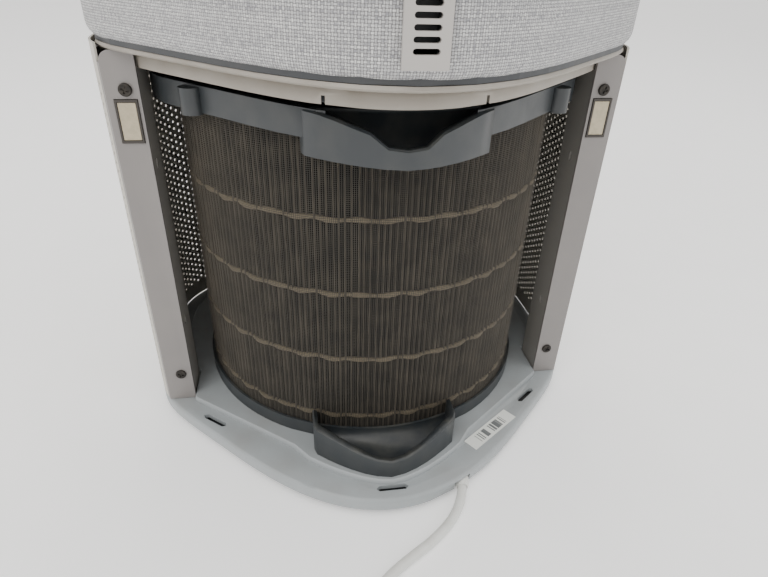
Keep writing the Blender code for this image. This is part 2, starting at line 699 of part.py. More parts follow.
# ------------------------------------------------------------------ fan stack
def make_fan():
    plate_half = COLLAR_HALF - COLLAR_WALL - GAP
    bottom, top = COLLAR_BOTTOM, COLLAR_BOTTOM + INLET_THICKNESS
    loft("inlet_plate", [
        plan(plate_half, COLLAR_POWER, bottom), plan(plate_half, COLLAR_POWER, top),
        circle(INLET_RADIUS + 0.008, top, count=PLAN_POINTS),
        circle(INLET_RADIUS - 0.0005, INLET_LIP_TOP, count=PLAN_POINTS),
        circle(INLET_RADIUS - 0.0025, INLET_LIP_TOP, count=PLAN_POINTS),
        circle(INLET_RADIUS, bottom + 0.004, count=PLAN_POINTS),
        circle(INLET_RADIUS + 0.002, bottom, count=PLAN_POINTS),
    ], INNER_GREY, True)

    duct_low = top + GAP
    duct_high = COVER_DECK - COVER_DECK_THICKNESS - GRILLE_THICKNESS - 0.0023
    outer = DUCT_RADIUS + DUCT_WALL
    turned("fan_duct", [
        (DUCT_RADIUS, duct_low), (outer + 0.006, duct_low), (outer + 0.006, duct_low + 0.003),
        (outer, duct_low + 0.003), (outer, DUCT_FLARE), (DUCT_TOP_RADIUS + DUCT_WALL, duct_high),
        (DUCT_TOP_RADIUS, duct_high), (DUCT_RADIUS, DUCT_FLARE),
    ], INNER_GREY)

    wheel("motor_mount", (0.0300, 0.0420, DUCT_RADIUS - 0.0080, DUCT_RADIUS - 2.0 * GAP), MOUNT_ARMS, 0.12,
          MOUNT_BOTTOM, MOUNT_THICKNESS, INNER_GREY, 9)
    motor_top = MOUNT_BOTTOM - GAP
    motor_low = motor_top - MOTOR_HEIGHT
    turned("fan_motor", [
        (0.0120, motor_low), (MOTOR_RADIUS - 0.003, motor_low), (MOTOR_RADIUS, motor_low + 0.003),
        (MOTOR_RADIUS, motor_top), (0.0150, motor_top),
    ], STEEL, looped=False, count=32)
    turned("fan_shaft", [
        (SHAFT_RADIUS - 0.0005, IMPELLER_BOTTOM + 0.012), (SHAFT_RADIUS, IMPELLER_BOTTOM + 0.0125),
        (SHAFT_RADIUS, motor_low - GAP),
    ], STEEL, looped=False, count=SMALL_POINTS)

    bore = SHAFT_RADIUS + 3.0 * SHAFT_CLEARANCE
    disc_low = IMPELLER_TOP - 0.003
    impeller = turned("impeller", [
        (bore, IMPELLER_BOTTOM + 0.020), (0.012, IMPELLER_BOTTOM + 0.020), (0.016, IMPELLER_BOTTOM + 0.026),
        (0.030, disc_low - 0.006), (0.052, disc_low), (IMPELLER_RADIUS, disc_low),
        (IMPELLER_RADIUS, IMPELLER_TOP), (0.0180, IMPELLER_TOP), (bore, IMPELLER_TOP),
    ], INNER_GREY)
    shroud = turned("shroud_guide", [
        (IMPELLER_EYE, IMPELLER_BOTTOM), (IMPELLER_RADIUS, IMPELLER_BOTTOM + 0.004),
        (IMPELLER_RADIUS, IMPELLER_BOTTOM + 0.0065), (IMPELLER_EYE, IMPELLER_BOTTOM + 0.0025),
    ], INNER_GREY)
    add(impeller, blades("blades_guide"), shroud)


def blades(name):
    """Backward-curved blades, each reaching into the back disc and the shroud."""
    points = []
    faces = []
    low, high = IMPELLER_BOTTOM + 0.0050, IMPELLER_TOP - 0.0015
    stations = 4
    for blade in range(IMPELLER_BLADES):
        first = math.tau * blade / IMPELLER_BLADES
        base = len(points)
        for index in range(stations):
            share = index / (stations - 1.0)
            radius = 0.062 + (IMPELLER_RADIUS - 0.0012 - 0.062) * share
            turn = first + 0.42 * share
            lift = 0.0 if radius > IMPELLER_EYE else 0.010 * (1.0 - share)
            across = 0.0009 / radius
            for sign, z in ((-1, low + lift), (1, low + lift), (1, high), (-1, high)):
                angle = turn + sign * across
                points.append((radius * math.sin(angle), -radius * math.cos(angle), z))
        for index in range(stations - 1):
            a = base + index * 4
            for edge in range(4):
                after = (edge + 1) % 4
                faces.append((a + edge, a + after, a + 4 + after, a + 4 + edge))
        faces.append((base, base + 1, base + 2, base + 3))
        last = base + (stations - 1) * 4
        faces.append((last, last + 1, last + 2, last + 3))
    return solid(name, points, faces, INNER_GREY)


# ----------------------------------------------------------------- upper body
def window(name):
    """The air path to the particle sensor, through cloth and housing."""
    low = SENSOR_FIRST_SLOT - 0.002
    face = -plan_radius(FABRIC_HALF, FABRIC_POWER, 0.0)
    return box(name, (-0.0060, face - 0.010, low), (0.0060, face + 0.018, SENSOR_PLATE_TOP - 0.006),
               INNER_GREY)


def make_upper_body():
    outer = FABRIC_HALF - FABRIC_THICKNESS - GAP
    inner = outer - HOUSING_WALL
    low = COLLAR_TOP + GAP
    housing = loft("inner_housing", [
        plan(outer, FABRIC_POWER, low), plan(outer, FABRIC_POWER, HOUSING_TOP),
        plan(inner, FABRIC_POWER, HOUSING_TOP), plan(inner, FABRIC_POWER, low + 0.003),
        plan(inner - 0.010, FABRIC_POWER, low + 0.003), plan(inner - 0.010, FABRIC_POWER, low),
    ], INNER_GREY, True)
    cut(housing, window("housing_window_guide"))

    cloth_in = FABRIC_HALF - FABRIC_THICKNESS
    cloth_top = COVER_BOTTOM - GAP
    fabric = loft("fabric_wrap", [
        plan(cloth_in, FABRIC_POWER, low + 0.0006), plan(FABRIC_HALF - 0.0012, FABRIC_POWER, low + 0.0006),
        plan(FABRIC_HALF, FABRIC_POWER, low + 0.005), plan(FABRIC_HALF, FABRIC_POWER, cloth_top),
        plan(cloth_in, FABRIC_POWER, cloth_top),
    ], FABRIC_GREY, True)
    cut(fabric, window("fabric_window_guide"))

    face = -plan_radius(FABRIC_HALF, FABRIC_POWER, 0.0) - GAP
    plate = box("sensor_grille",
                (-SENSOR_PLATE_WIDTH / 2.0, face - SENSOR_PLATE_THICKNESS, SENSOR_PLATE_BOTTOM),
                (SENSOR_PLATE_WIDTH / 2.0, face, SENSOR_PLATE_TOP), COVER_GREY)
    for index in range(SENSOR_SLOT_COUNT):
        height = SENSOR_FIRST_SLOT + SENSOR_SLOT_PITCH * index
        cut(plate, capsule("sensor_slot_guide", SENSOR_SLOT_LENGTH, SENSOR_SLOT_WIDTH, 0.010, COVER_GREY,
                           (0.0, face, height), Matrix.Rotation(math.pi / 2.0, 3, "X"), 4))

    sensor_face = -plan_radius(inner, FABRIC_POWER, 0.0) + 0.0030
    box("particle_sensor", (-SENSOR_BOX[0] / 2.0, sensor_face, SENSOR_FIRST_SLOT),
        (SENSOR_BOX[0] / 2.0, sensor_face + SENSOR_BOX[1], SENSOR_FIRST_SLOT + SENSOR_BOX[2]),
        COVER_GREY, 0.001)

    board_low = COLLAR_BOTTOM + INLET_THICKNESS + GAP
    board = box("power_board", (BOARD_X, -BOARD_SIZE / 2.0, board_low),
                (BOARD_X + BOARD_THICKNESS, BOARD_SIZE / 2.0, board_low + BOARD_SIZE), BOARD_GREEN)
    for index, (y, z, deep, tall) in enumerate(((-0.018, 0.020, 0.009, 0.026), (0.014, 0.018, 0.012, 0.022),
                                                (0.010, 0.048, 0.007, 0.012))):
        low = (BOARD_X + BOARD_THICKNESS * 0.6, y - tall / 2.0, board_low + z - tall / 2.0)
        high = (BOARD_X + BOARD_THICKNESS + deep, y + tall / 2.0, board_low + z + tall / 2.0)
        add(board, box("component_guide", low, high, BOARD_GREEN))


def make_top():
    outer, inner = FABRIC_HALF, FABRIC_HALF - FABRIC_THICKNESS
    underside = COVER_DECK - COVER_DECK_THICKNESS
    ledge = underside - GRILLE_THICKNESS
    cover = loft("top_cover", [
        plan(inner, FABRIC_POWER, COVER_BOTTOM), plan(outer, FABRIC_POWER, COVER_BOTTOM),
        plan(outer, FABRIC_POWER, COVER_DECK - 0.006),
        plan(outer - 0.0016, FABRIC_POWER, COVER_DECK - 0.0004),
        plan(outer - 0.0052, FABRIC_POWER, TOTAL_HEIGHT), plan(outer - 0.0095, FABRIC_POWER, COVER_DECK),
        circle(COVER_OPENING, COVER_DECK, count=PLAN_POINTS),
        circle(COVER_OPENING, ledge, count=PLAN_POINTS),
        circle(COVER_LEDGE, ledge, count=PLAN_POINTS),
        circle(COVER_LEDGE, ledge - 0.002, count=PLAN_POINTS),
        circle(COVER_OPENING + 0.003, ledge - 0.002, count=PLAN_POINTS),
        circle(COVER_OPENING + 0.003, underside, count=PLAN_POINTS),
        plan(inner, FABRIC_POWER, underside),
    ], COVER_GREY, True)
    half_x, half_y = PANEL_SIZE[0] / 2.0, PANEL_SIZE[1] / 2.0
    recess_floor = COVER_DECK - PANEL_SIZE[2] - GAP
    cut(cover, capsule("panel_recess_guide", PANEL_SIZE[0] + 2 * GAP, PANEL_SIZE[1] + 2 * GAP, 0.020,
                       COVER_GREY, (0.0, PANEL_Y, recess_floor + 0.010)))
    wheel("outlet_grille", GRILLE_RINGS, GRILLE_SPOKES, 0.16, ledge + GAP, GRILLE_THICKNESS, INNER_GREY, 2)
    panel = capsule("control_panel", PANEL_SIZE[0], PANEL_SIZE[1], PANEL_SIZE[2], INNER_GREY,
                    (0.0, PANEL_Y, recess_floor + GAP + PANEL_SIZE[2] / 2.0))
    for number in range(3):
        x = BUTTON_SPACING * (number - 1)
        cut(panel, turned("button_hole_guide", [(BUTTON_RADIUS + GAP, COVER_DECK - 0.010),
                                                (BUTTON_RADIUS + GAP, COVER_DECK + 0.010)],
                          INNER_GREY, (x, PANEL_Y), SMALL_POINTS, False))
        top = COVER_DECK + BUTTON_PROUD
        low = recess_floor + BUTTON_TRAVEL + GAP
        button = turned(f"button_{number + 1}", [
            (BUTTON_RADIUS, low - COVER_DECK), (BUTTON_RADIUS, top - COVER_DECK - 0.0005),
            (BUTTON_RADIUS - 0.0005, top - COVER_DECK),
        ], COVER_GREY, (0.0, 0.0), SMALL_POINTS, False)
        button.location = (x, PANEL_Y, COVER_DECK)
    box("control_board", (-half_x + 0.004, PANEL_Y - half_y + 0.001, underside - GAP - 0.0016),
        (half_x - 0.004, PANEL_Y + half_y - 0.001, underside - GAP), BOARD_GREEN)


# --------------------------------------------------------------------- filter
def lip_front(x):
    """Depth of the handle's outer face at a distance x from the middle."""
    return LIP_FRONT_Y + (LIP_SIDE_Y - LIP_FRONT_Y) * (abs(x) / LIP_HALF) ** LIP_BOW


def filter_front(x, radius):
    """The y of the cartridge's front at a distance x from the middle."""
    return FILTER_Y - math.sqrt(radius ** 2 - x ** 2)


def lip_stations(inset=0.0):
    """The handle's plan from its left root round the nose to its right root."""
    half = LIP_HALF - inset
    root = filter_front(half, LIP_ROOT_RADIUS)
    stations = [(-half, root), (-half, LIP_SIDE_Y + 0.0050)]
    for index in range(13):
        x = -1.0 + index / 6.0
        x = math.copysign(abs(x) ** 0.9, x)
        stations.append((x * (half - 0.0016), lip_front(x * LIP_HALF) + inset * 1.15))
    stations.extend([(half, LIP_SIDE_Y + 0.0050), (half, root)])
    return stations


def make_lip(name, low, look):
    """A bowed wall with a finger dip in its top edge."""
    sections = []
    for (ox, oy), (ix, iy) in zip(lip_stations(), lip_stations(LIP_WALL)):
        share = min(abs(ox) / LIP_HALF, 1.0)
        dip = LIP_DIP * (0.5 + 0.5 * math.cos(math.pi * share)) if oy < LIP_SIDE_Y + 0.006 else 0.0
        top = low + LIP_HEIGHT - dip
        sections.append([(ox, oy, low), (ox, oy, top - 0.0008),
                         (ox + (ix - ox) * 0.3, oy + (iy - oy) * 0.3, top),
                         (ix, iy, top), (ix, iy, low)])
    return loft(name, sections, look)


def lip_floor(name, low, high, look):
    """The handle's plan filled in, back to the front of the cartridge."""
    corners = lip_stations(LIP_WALL * 0.5)
    corners.extend(front_arc(corners[-1][0], LIP_ROOT_RADIUS)[1:-1])
    return prism(name, corners, low, high, look)


def front_arc(reach, radius, count=9):
    """Points along the front of the cartridge from x = reach to x = -reach."""
    points = []
    for index in range(count):
        x = reach * (1.0 - 2.0 * index / (count - 1))
        points.append((x, filter_front(x, radius)))
    return points


def pocket_back(name, low, high, look):
    """The curved wall between the upper handle's finger pocket and the pleats."""
    corners = front_arc(LIP_HALF - 0.001, LIP_ROOT_RADIUS - 0.0006)
    corners.extend(reversed(front_arc(LIP_HALF - 0.001, LIP_ROOT_RADIUS + 0.0010)))
    return prism(name, corners, low, high, look)


def top_cap_corners(inset):
    """Plan of the top cap: it follows the body in front and is straight-sided to slide out."""
    side = FILTER_RADIUS + 0.0055 - inset
    corners = []
    for index in range(PLAN_POINTS):
        turn = math.tau * index / PLAN_POINTS
        if math.cos(turn) > 0.0:
            radius = plan_radius(TOP_CAP_HALF - inset, TOP_CAP_POWER, turn)
            x, y = radius * math.sin(turn), min(-radius * math.cos(turn), FILTER_Y)
            corners.append((max(-side, min(side, x)), y))
        else:
            corners.append((side * math.sin(turn), FILTER_Y - side * math.cos(turn)))
    return corners


def make_filter():
    centre = (0.0, FILTER_Y)
    rim_in = FILTER_RADIUS - CAP_RIM
    cap = turned("filter_cap_bottom", [
        (FILTER_RADIUS, CAP_BOTTOM), (FILTER_RADIUS, CAP_RIM_TOP), (rim_in, CAP_RIM_TOP),
        (rim_in, CAP_BOTTOM + CAP_SKIN),
    ], CAP_BLUE, centre, looped=False)
    add(cap, lip_floor("bottom_floor_guide", CAP_BOTTOM, CAP_BOTTOM + CAP_SKIN, CAP_BLUE),
        make_lip("bottom_lip_guide", CAP_BOTTOM, CAP_BLUE))

    outer, inner = top_cap_corners(0.0), top_cap_corners(TOP_CAP_WALL)
    deck_low, deck_high = TOP_CAP_DECK, TOP_CAP_DECK + CAP_SKIN

    def level(corners, z):
        return [(x, y, z) for x, y in corners]

    top = loft("filter_cap_top", [
        level(inner, TOP_CAP_BOTTOM), level(outer, TOP_CAP_BOTTOM), level(outer, TOP_CAP_TOP),
        level(inner, TOP_CAP_TOP), level(inner, deck_high),
        circle(SEAL_RADIUS - SEAL_WIDTH - 0.002, deck_high, centre, PLAN_POINTS),
        circle(SEAL_RADIUS - SEAL_WIDTH - 0.002, deck_low, centre, PLAN_POINTS),
        level(inner, deck_low),
    ], CAP_BLUE, True)
    cut(top, lip_floor("pocket_guide", TOP_CAP_BOTTOM - 0.001, TOP_CAP_TOP + 0.001, CAP_BLUE))
    add(top, lip_floor("top_floor_guide", TOP_LIP_BOTTOM, TOP_LIP_BOTTOM + CAP_SKIN, CAP_BLUE),
        make_lip("top_lip_guide", TOP_LIP_BOTTOM, CAP_BLUE),
        pocket_back("pocket_back_guide", TOP_LIP_BOTTOM, deck_low + 0.001, CAP_BLUE))
    for side in (-1.0, 1.0):
        at = plan_turn_at(TOP_CAP_HALF, TOP_CAP_POWER, BUMP_Y)
        reach = plan_radius(TOP_CAP_HALF, TOP_CAP_POWER, at) + 0.001
        profile = [(BUMP_HALF, TOP_CAP_BOTTOM - 0.0010), (BUMP_HALF, TOP_CAP_TOP - 0.0010)]
        centre_of_bump = (side * reach * math.sin(at), -reach * math.cos(at))
        add(top, turned("bump_guide", profile, CAP_BLUE, centre_of_bump, 16, False))

    media_low, media_high = CAP_BOTTOM + CAP_SKIN + GAP, TOP_CAP_DECK - GAP
    net_out = rim_in - GAP
    media_out = net_out - NET_THICKNESS - GAP
    media_in = media_out - MEDIA_DEPTH
    ring_solid("filter_net", net_out, net_out - NET_THICKNESS, media_low, media_high, NET_GREY)
    ring_solid("filter_media", media_out, media_in, media_low, media_high, MEDIA_BROWN)
    ring_solid("filter_core", media_in - GAP, media_in - GAP - CORE_THICKNESS, media_low, media_high, CARBON)
    ring_solid("filter_seal", SEAL_RADIUS, SEAL_RADIUS - SEAL_WIDTH, deck_high + GAP,
               COLLAR_BOTTOM - GAP, FOAM)


def ring_solid(name, outer, inner, low, high, look):
    turned(name, [(outer, low), (outer, high), (inner, high), (inner, low)], look, (0.0, FILTER_Y))


# ----------------------------------------------------------------------- cord
def moved_out(route):
    """A route carried along Y with the front corner of the body."""
    return [(x, y + CORD_SHIFT, z) for x, y, z in route]


def make_cord():
    forward = gland_axis().to_3d()
    side = Vector((-forward.y, forward.x, 0.0))
    start = Vector((*GLAND_INNER, GLAND_HEIGHT))
    bore = CORD_RADIUS + GAP
    profile = ((bore, 0.0), (GLAND_RADIUS - 0.0004, 0.0), (GLAND_RADIUS, 0.0010),
               (GLAND_RADIUS, GLAND_LENGTH - 0.0030), (GLAND_RADIUS - 0.0008, GLAND_LENGTH),
               (bore, GLAND_LENGTH))
    rings = []
    for radius, along in profile:
        ring = []
        for index in range(SMALL_POINTS):
            turn = math.tau * index / SMALL_POINTS
            offset = side * math.cos(turn) * radius + Vector((0.0, 0.0, math.sin(turn) * radius))
            ring.append(tuple(start + forward * along + offset))
        rings.append(ring)
    loft("cord_gland", rings, CORD_WHITE, True)

    tube("mains_cord", moved_out(CORD_ROUTE), CORD_RADIUS, CORD_WHITE)
    outer = COIL_MEAN_RADIUS + COIL_WIDTH / 2.0
    inner = COIL_MEAN_RADIUS - COIL_WIDTH / 2.0
    turned("cord_coil", [
        (inner, 0.0025), (inner + 0.002, GAP), (outer - 0.002, GAP), (outer, 0.0025),
        (outer, COIL_HEIGHT - 0.0022), (outer - 0.002, GAP + COIL_HEIGHT),
        (inner + 0.002, GAP + COIL_HEIGHT), (inner, COIL_HEIGHT - 0.0022),
    ], CORD_WHITE, COIL_CENTRE, 40)
    tube("mains_cord_tail", moved_out(TAIL_ROUTE), CORD_RADIUS, CORD_WHITE)

    x, y, z = moved_out(TAIL_ROUTE)[-1]
    x += GAP
    rings = []
    for share, grow in ((0.0, 0.24), (0.10, 0.36), (0.45, 0.62), (0.72, 0.96), (0.80, 1.0),
                        (0.98, 1.0), (1.0, 0.95)):
        ring = []
        for index in range(24):
            turn = math.tau * index / 24
            wide = math.copysign(abs(math.cos(turn)) ** 0.6, math.cos(turn))
            tall = math.copysign(abs(math.sin(turn)) ** 0.6, math.sin(turn))
            height = PLUG_HALF_HEIGHT * max(grow, 0.55)
            ring.append((x + PLUG_LENGTH * share, y + PLUG_HALF_WIDTH * grow * wide, z + height * tall))
        rings.append(ring)
    loft("mains_plug", rings, CORD_WHITE)
    for name, offset in (("a", -0.5), ("b", 0.5)):
        rings = []
        for along, radius in ((0.0, 1.0), (0.9, 1.0), (0.97, 0.85), (1.0, 0.5)):
            ring = []
            for index in range(12):
                turn = math.tau * index / 12
                ring.append((x + PLUG_LENGTH + GAP + PLUG_PIN_LENGTH * along,
                             y + offset * PLUG_PIN_SPACING + PLUG_PIN_RADIUS * radius * math.cos(turn),
                             z + PLUG_PIN_RADIUS * radius * math.sin(turn)))
            rings.append(ring)
        loft(f"plug_pin_{name}", rings, STEEL)


# ---------------------------------------------------------------------- label
def make_label():
    """A blank sticker on the right-hand flank of the rim."""
    along = Vector((0.0422, 0.0302)).normalized()
    across = Vector((along.y, -along.x))
    centre = Vector(LABEL_CENTRE)
    corners = []
    for a, b in ((-0.5, -0.5), (0.5, -0.5), (0.5, 0.5), (-0.5, 0.5)):
        corner = centre + along * a * LABEL_SIZE[0] + across * b * LABEL_SIZE[1]
        corners.append((corner.x, corner.y))
    prism("rating_label", corners, RIM_TOP + 0.0001, RIM_TOP + 0.0003, PAPER_WHITE)


for old in list(bpy.data.objects):
    bpy.data.objects.remove(old)
make_base()
make_posts()
make_collar()
make_fan()
make_upper_body()
make_top()
make_filter()
make_cord()
make_label()
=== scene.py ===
# %% [markdown]
# # A floor-standing air purifier with its door taken off
#
# The lower half of this purifier is a perforated sheet wrapped round a drum
# filter, and the upper half is a fan housing dressed in woven cloth.  The
# structure, the sizes and the moving parts come from the CAD frame.  This
# lesson gives each part its surface: cloth with a real weave, paper folded
# into real pleats, a sheet with real holes, and a lead of its real length.
# Everything is in metres, +Z is up, and -Y is the open corner.

# %% Load the frame
import math
import random

import bmesh
import bpy
import numpy as np
from mathutils import Matrix, Vector


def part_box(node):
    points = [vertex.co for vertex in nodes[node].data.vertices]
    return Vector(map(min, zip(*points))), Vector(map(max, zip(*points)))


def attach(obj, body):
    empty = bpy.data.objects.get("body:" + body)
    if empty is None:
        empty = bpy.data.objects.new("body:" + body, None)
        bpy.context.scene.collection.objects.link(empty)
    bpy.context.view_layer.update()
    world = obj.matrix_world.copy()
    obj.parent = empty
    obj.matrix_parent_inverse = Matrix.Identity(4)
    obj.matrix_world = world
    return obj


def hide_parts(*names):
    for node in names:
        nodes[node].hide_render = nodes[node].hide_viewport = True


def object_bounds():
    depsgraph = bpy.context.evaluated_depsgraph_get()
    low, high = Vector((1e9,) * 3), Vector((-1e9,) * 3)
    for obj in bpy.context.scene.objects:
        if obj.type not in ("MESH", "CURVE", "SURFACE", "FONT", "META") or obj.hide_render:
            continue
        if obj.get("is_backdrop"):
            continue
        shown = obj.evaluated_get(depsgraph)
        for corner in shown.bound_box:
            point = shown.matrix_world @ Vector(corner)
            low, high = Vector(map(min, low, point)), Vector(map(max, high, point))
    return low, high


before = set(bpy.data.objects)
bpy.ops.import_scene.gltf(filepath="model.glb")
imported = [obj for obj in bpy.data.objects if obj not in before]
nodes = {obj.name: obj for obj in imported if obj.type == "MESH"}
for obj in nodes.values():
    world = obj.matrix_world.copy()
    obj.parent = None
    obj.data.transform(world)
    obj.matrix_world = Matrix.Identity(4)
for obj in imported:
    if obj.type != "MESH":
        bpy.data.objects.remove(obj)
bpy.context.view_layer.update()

MM = 0.001

# %% [markdown]
# ## Small tools
#
# Blender's operators act on whatever is selected, so each step first clears
# the selection and then picks by place or by normal.  A finished piece is
# tied to a body of the frame, takes the place of the CAD node it refines and
# remembers the material slot that it belongs to.

# %% Selecting and finishing pieces
def only(piece):
    """Select one object and make it the active one."""
    bpy.ops.object.select_all(action="DESELECT")
    piece.select_set(True)
    bpy.context.view_layer.objects.active = piece


def edit(piece):
    only(piece)
    bpy.ops.object.mode_set(mode="EDIT")
    bpy.ops.mesh.select_mode(type="VERT")


def done():
    bpy.ops.object.mode_set(mode="OBJECT")


def pick(piece, kind, test):
    """In edit mode, select only the vertices, edges or faces that pass the test."""
    bpy.ops.mesh.select_mode(type={"verts": "VERT", "edges": "EDGE", "faces": "FACE"}[kind])
    bpy.ops.mesh.select_all(action="DESELECT")
    shape = bmesh.from_edit_mesh(piece.data)
    for item in getattr(shape, kind):
        if test(item):
            item.select_set(True)
    bmesh.update_edit_mesh(piece.data)


def apply_modifier(piece, kind, **settings):
    only(piece)
    modifier = piece.modifiers.new(kind.lower(), kind)
    for name, value in settings.items():
        setattr(modifier, name, value)
    bpy.ops.object.modifier_apply(modifier=modifier.name)


def settle(piece):
    """Move a piece's place, turn and scale into its mesh."""
    only(piece)
    bpy.ops.object.transform_apply(location=True, rotation=True, scale=True)


def finish_piece(piece, material, body, replaced=(), smooth=35.0):
    """Give it its finish, shade it and tie it to the frame."""
    only(piece)
    if piece.type == "MESH" and smooth:
        bpy.ops.object.shade_smooth_by_angle(angle=math.radians(smooth))
    piece.data.materials.clear()
    piece.data.materials.append(material)
    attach(piece, body)
    if replaced:
        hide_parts(*replaced)
    print(piece.name, "made")
    return piece


def copy_of(node, name):
    """A new object with a merged copy of a CAD node's mesh."""
    piece = bpy.data.objects.new(name, nodes[node].data.copy())
    bpy.context.scene.collection.objects.link(piece)
    edit(piece)
    bpy.ops.mesh.select_all(action="SELECT")
    bpy.ops.mesh.remove_doubles(threshold=0.00002)
    bpy.ops.mesh.dissolve_limited(angle_limit=math.radians(0.6))
    done()
    return piece


# %% [markdown]
# ## Camera, floor and light
#
# The camera stands close above the open corner and looks down into it, a
# little to the right, with the wide view of a telephone held by hand.  The
# light is that of a bright room: a big soft window to the front left, a
# weaker one to the right, a panel in the ceiling and a pale sky all round.

# %% Camera
CAMERA_AT = Vector((-0.0490, -0.3987, 0.2942))
CAMERA_YAW = math.radians(9.72)
CAMERA_PITCH = math.radians(30.81)
CAMERA_ROLL = math.radians(2.05)
CAMERA_LENS = 26.37

bpy.ops.object.camera_add(location=CAMERA_AT)
camera = bpy.context.object
camera.name = "camera"
turned = (Matrix.Rotation(-CAMERA_YAW, 3, "Z")
          @ Matrix.Rotation(math.pi / 2.0 - CAMERA_PITCH, 3, "X")
          @ Matrix.Rotation(CAMERA_ROLL, 3, "Z"))
camera.rotation_euler = turned.to_euler()
camera.data.lens = CAMERA_LENS
camera.data.sensor_width = 36.0
camera.data.clip_start = 0.01
bpy.context.scene.camera = camera

# %% Floor, sky and lamps
FLOOR_SIZE = 12.0
bpy.ops.mesh.primitive_plane_add(size=FLOOR_SIZE, location=(0.0, 0.0, -0.0002))
floor = bpy.context.object
floor.name = "floor"
floor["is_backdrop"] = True


def lamp(name, place, target, size, power, colour):
    bpy.ops.object.light_add(type="AREA", location=place)
    made = bpy.context.object
    made.name = name
    made.data.size = size
    made.data.energy = power
    made.data.color = colour
    made.rotation_euler = (Vector(target) - Vector(place)).to_track_quat("-Z", "Y").to_euler()
    return made


lamp("window_left", (-0.9, -1.1, 1.5), (0.0, -0.1, 0.1), 1.2, 17.0, (1.0, 0.985, 0.96))
lamp("window_right", (1.3, -0.9, 0.9), (0.0, -0.1, 0.1), 1.0, 5.0, (0.94, 0.97, 1.0))
lamp("ceiling", (0.2, 0.4, 2.0), (0.0, 0.0, 0.1), 1.6, 14.0, (1.0, 0.99, 0.97))

sky = bpy.data.worlds.new("pale room")
bpy.context.scene.world = sky
sky.use_nodes = True
sky.node_tree.nodes["Background"].inputs["Color"].default_value = (1.0, 0.985, 0.965, 1.0)
sky.node_tree.nodes["Background"].inputs["Strength"].default_value = 1.15

# %% [markdown]
# ## Finishes
#
# One function adds a shader node with its settings and its links, and every
# material below is written with it.  Colours are sRGB hex values, and the
# scale of each pattern is a real size in millimetres.

# %% Material tools
def linear(hex_colour):
    """An sRGB hex colour as linear red, green, blue and alpha."""
    parts = [int(hex_colour[i:i + 2], 16) / 255.0 for i in (1, 3, 5)]
    return (*[c / 12.92 if c <= 0.04045 else ((c + 0.055) / 1.055) ** 2.4 for c in parts], 1.0)


def add_node(tree, kind, settings=(), links=()):
    """Add a node; a setting's name is an attribute, or an input's name or number."""
    made = tree.nodes.new(kind)
    for name, value in dict(settings).items():
        if isinstance(name, int) or name in made.inputs:
            made.inputs[name].default_value = value
        else:
            setattr(made, name, value)
    for name, socket in dict(links).items():
        tree.links.new(socket, made.inputs[name])
    return made


def new_material(name, hex_colour, roughness, metallic=0.0):
    made = bpy.data.materials.new(name)
    made.use_nodes = True
    shader = made.node_tree.nodes["Principled BSDF"]
    shader.inputs["Base Color"].default_value = linear(hex_colour)
    shader.inputs["Roughness"].default_value = roughness
    shader.inputs["Metallic"].default_value = metallic
    made.diffuse_color = linear(hex_colour)
    return made, made.node_tree, shader


def cycles_per_metre(size_mm):
    """The scale that makes a noise's spots about this many millimetres across."""
    return 1.0 / (size_mm * MM)


def mix_colours(tree, factor, first, second):
    """Mix two colours; each is a hex text or a socket."""
    made = add_node(tree, "ShaderNodeMix", {"data_type": "RGBA"}, {"Factor": factor})
    for number, value in ((6, first), (7, second)):
        if isinstance(value, str):
            made.inputs[number].default_value = linear(value)
        else:
            tree.links.new(value, made.inputs[number])
    return made.outputs[2]


def ramp(tree, value, low, high):
    """0 below low, 1 above high and straight in between."""
    return add_node(tree, "ShaderNodeMapRange", {"From Min": low, "From Max": high},
                    {"Value": value}).outputs["Result"]


def noise(tree, place, size_mm, detail=2.0):
    return add_node(tree, "ShaderNodeTexNoise", {"Scale": cycles_per_metre(size_mm), "Detail": detail},
                    {"Vector": place}).outputs["Fac"]


def add_bump(tree, shader, height, depth_mm, strength=1.0):
    bump = add_node(tree, "ShaderNodeBump", {"Distance": depth_mm * MM, "Strength": strength},
                    {"Height": height})
    tree.links.new(bump.outputs["Normal"], shader.inputs["Normal"])


# %% [markdown]
# ### Moulded plastics
#
# Most hard parts are injection-moulded ABS.  The mould is spark-eroded, which
# leaves a fine even grain and a satin face.  Years of use add a thin film of
# dust that settles on what faces up, and faint rubbed streaks.  The grain is
# really about 0.2 mm; it is drawn at 0.5 mm so that it shows at all.

# %% Moulded plastic
GRAIN_MM = 0.5


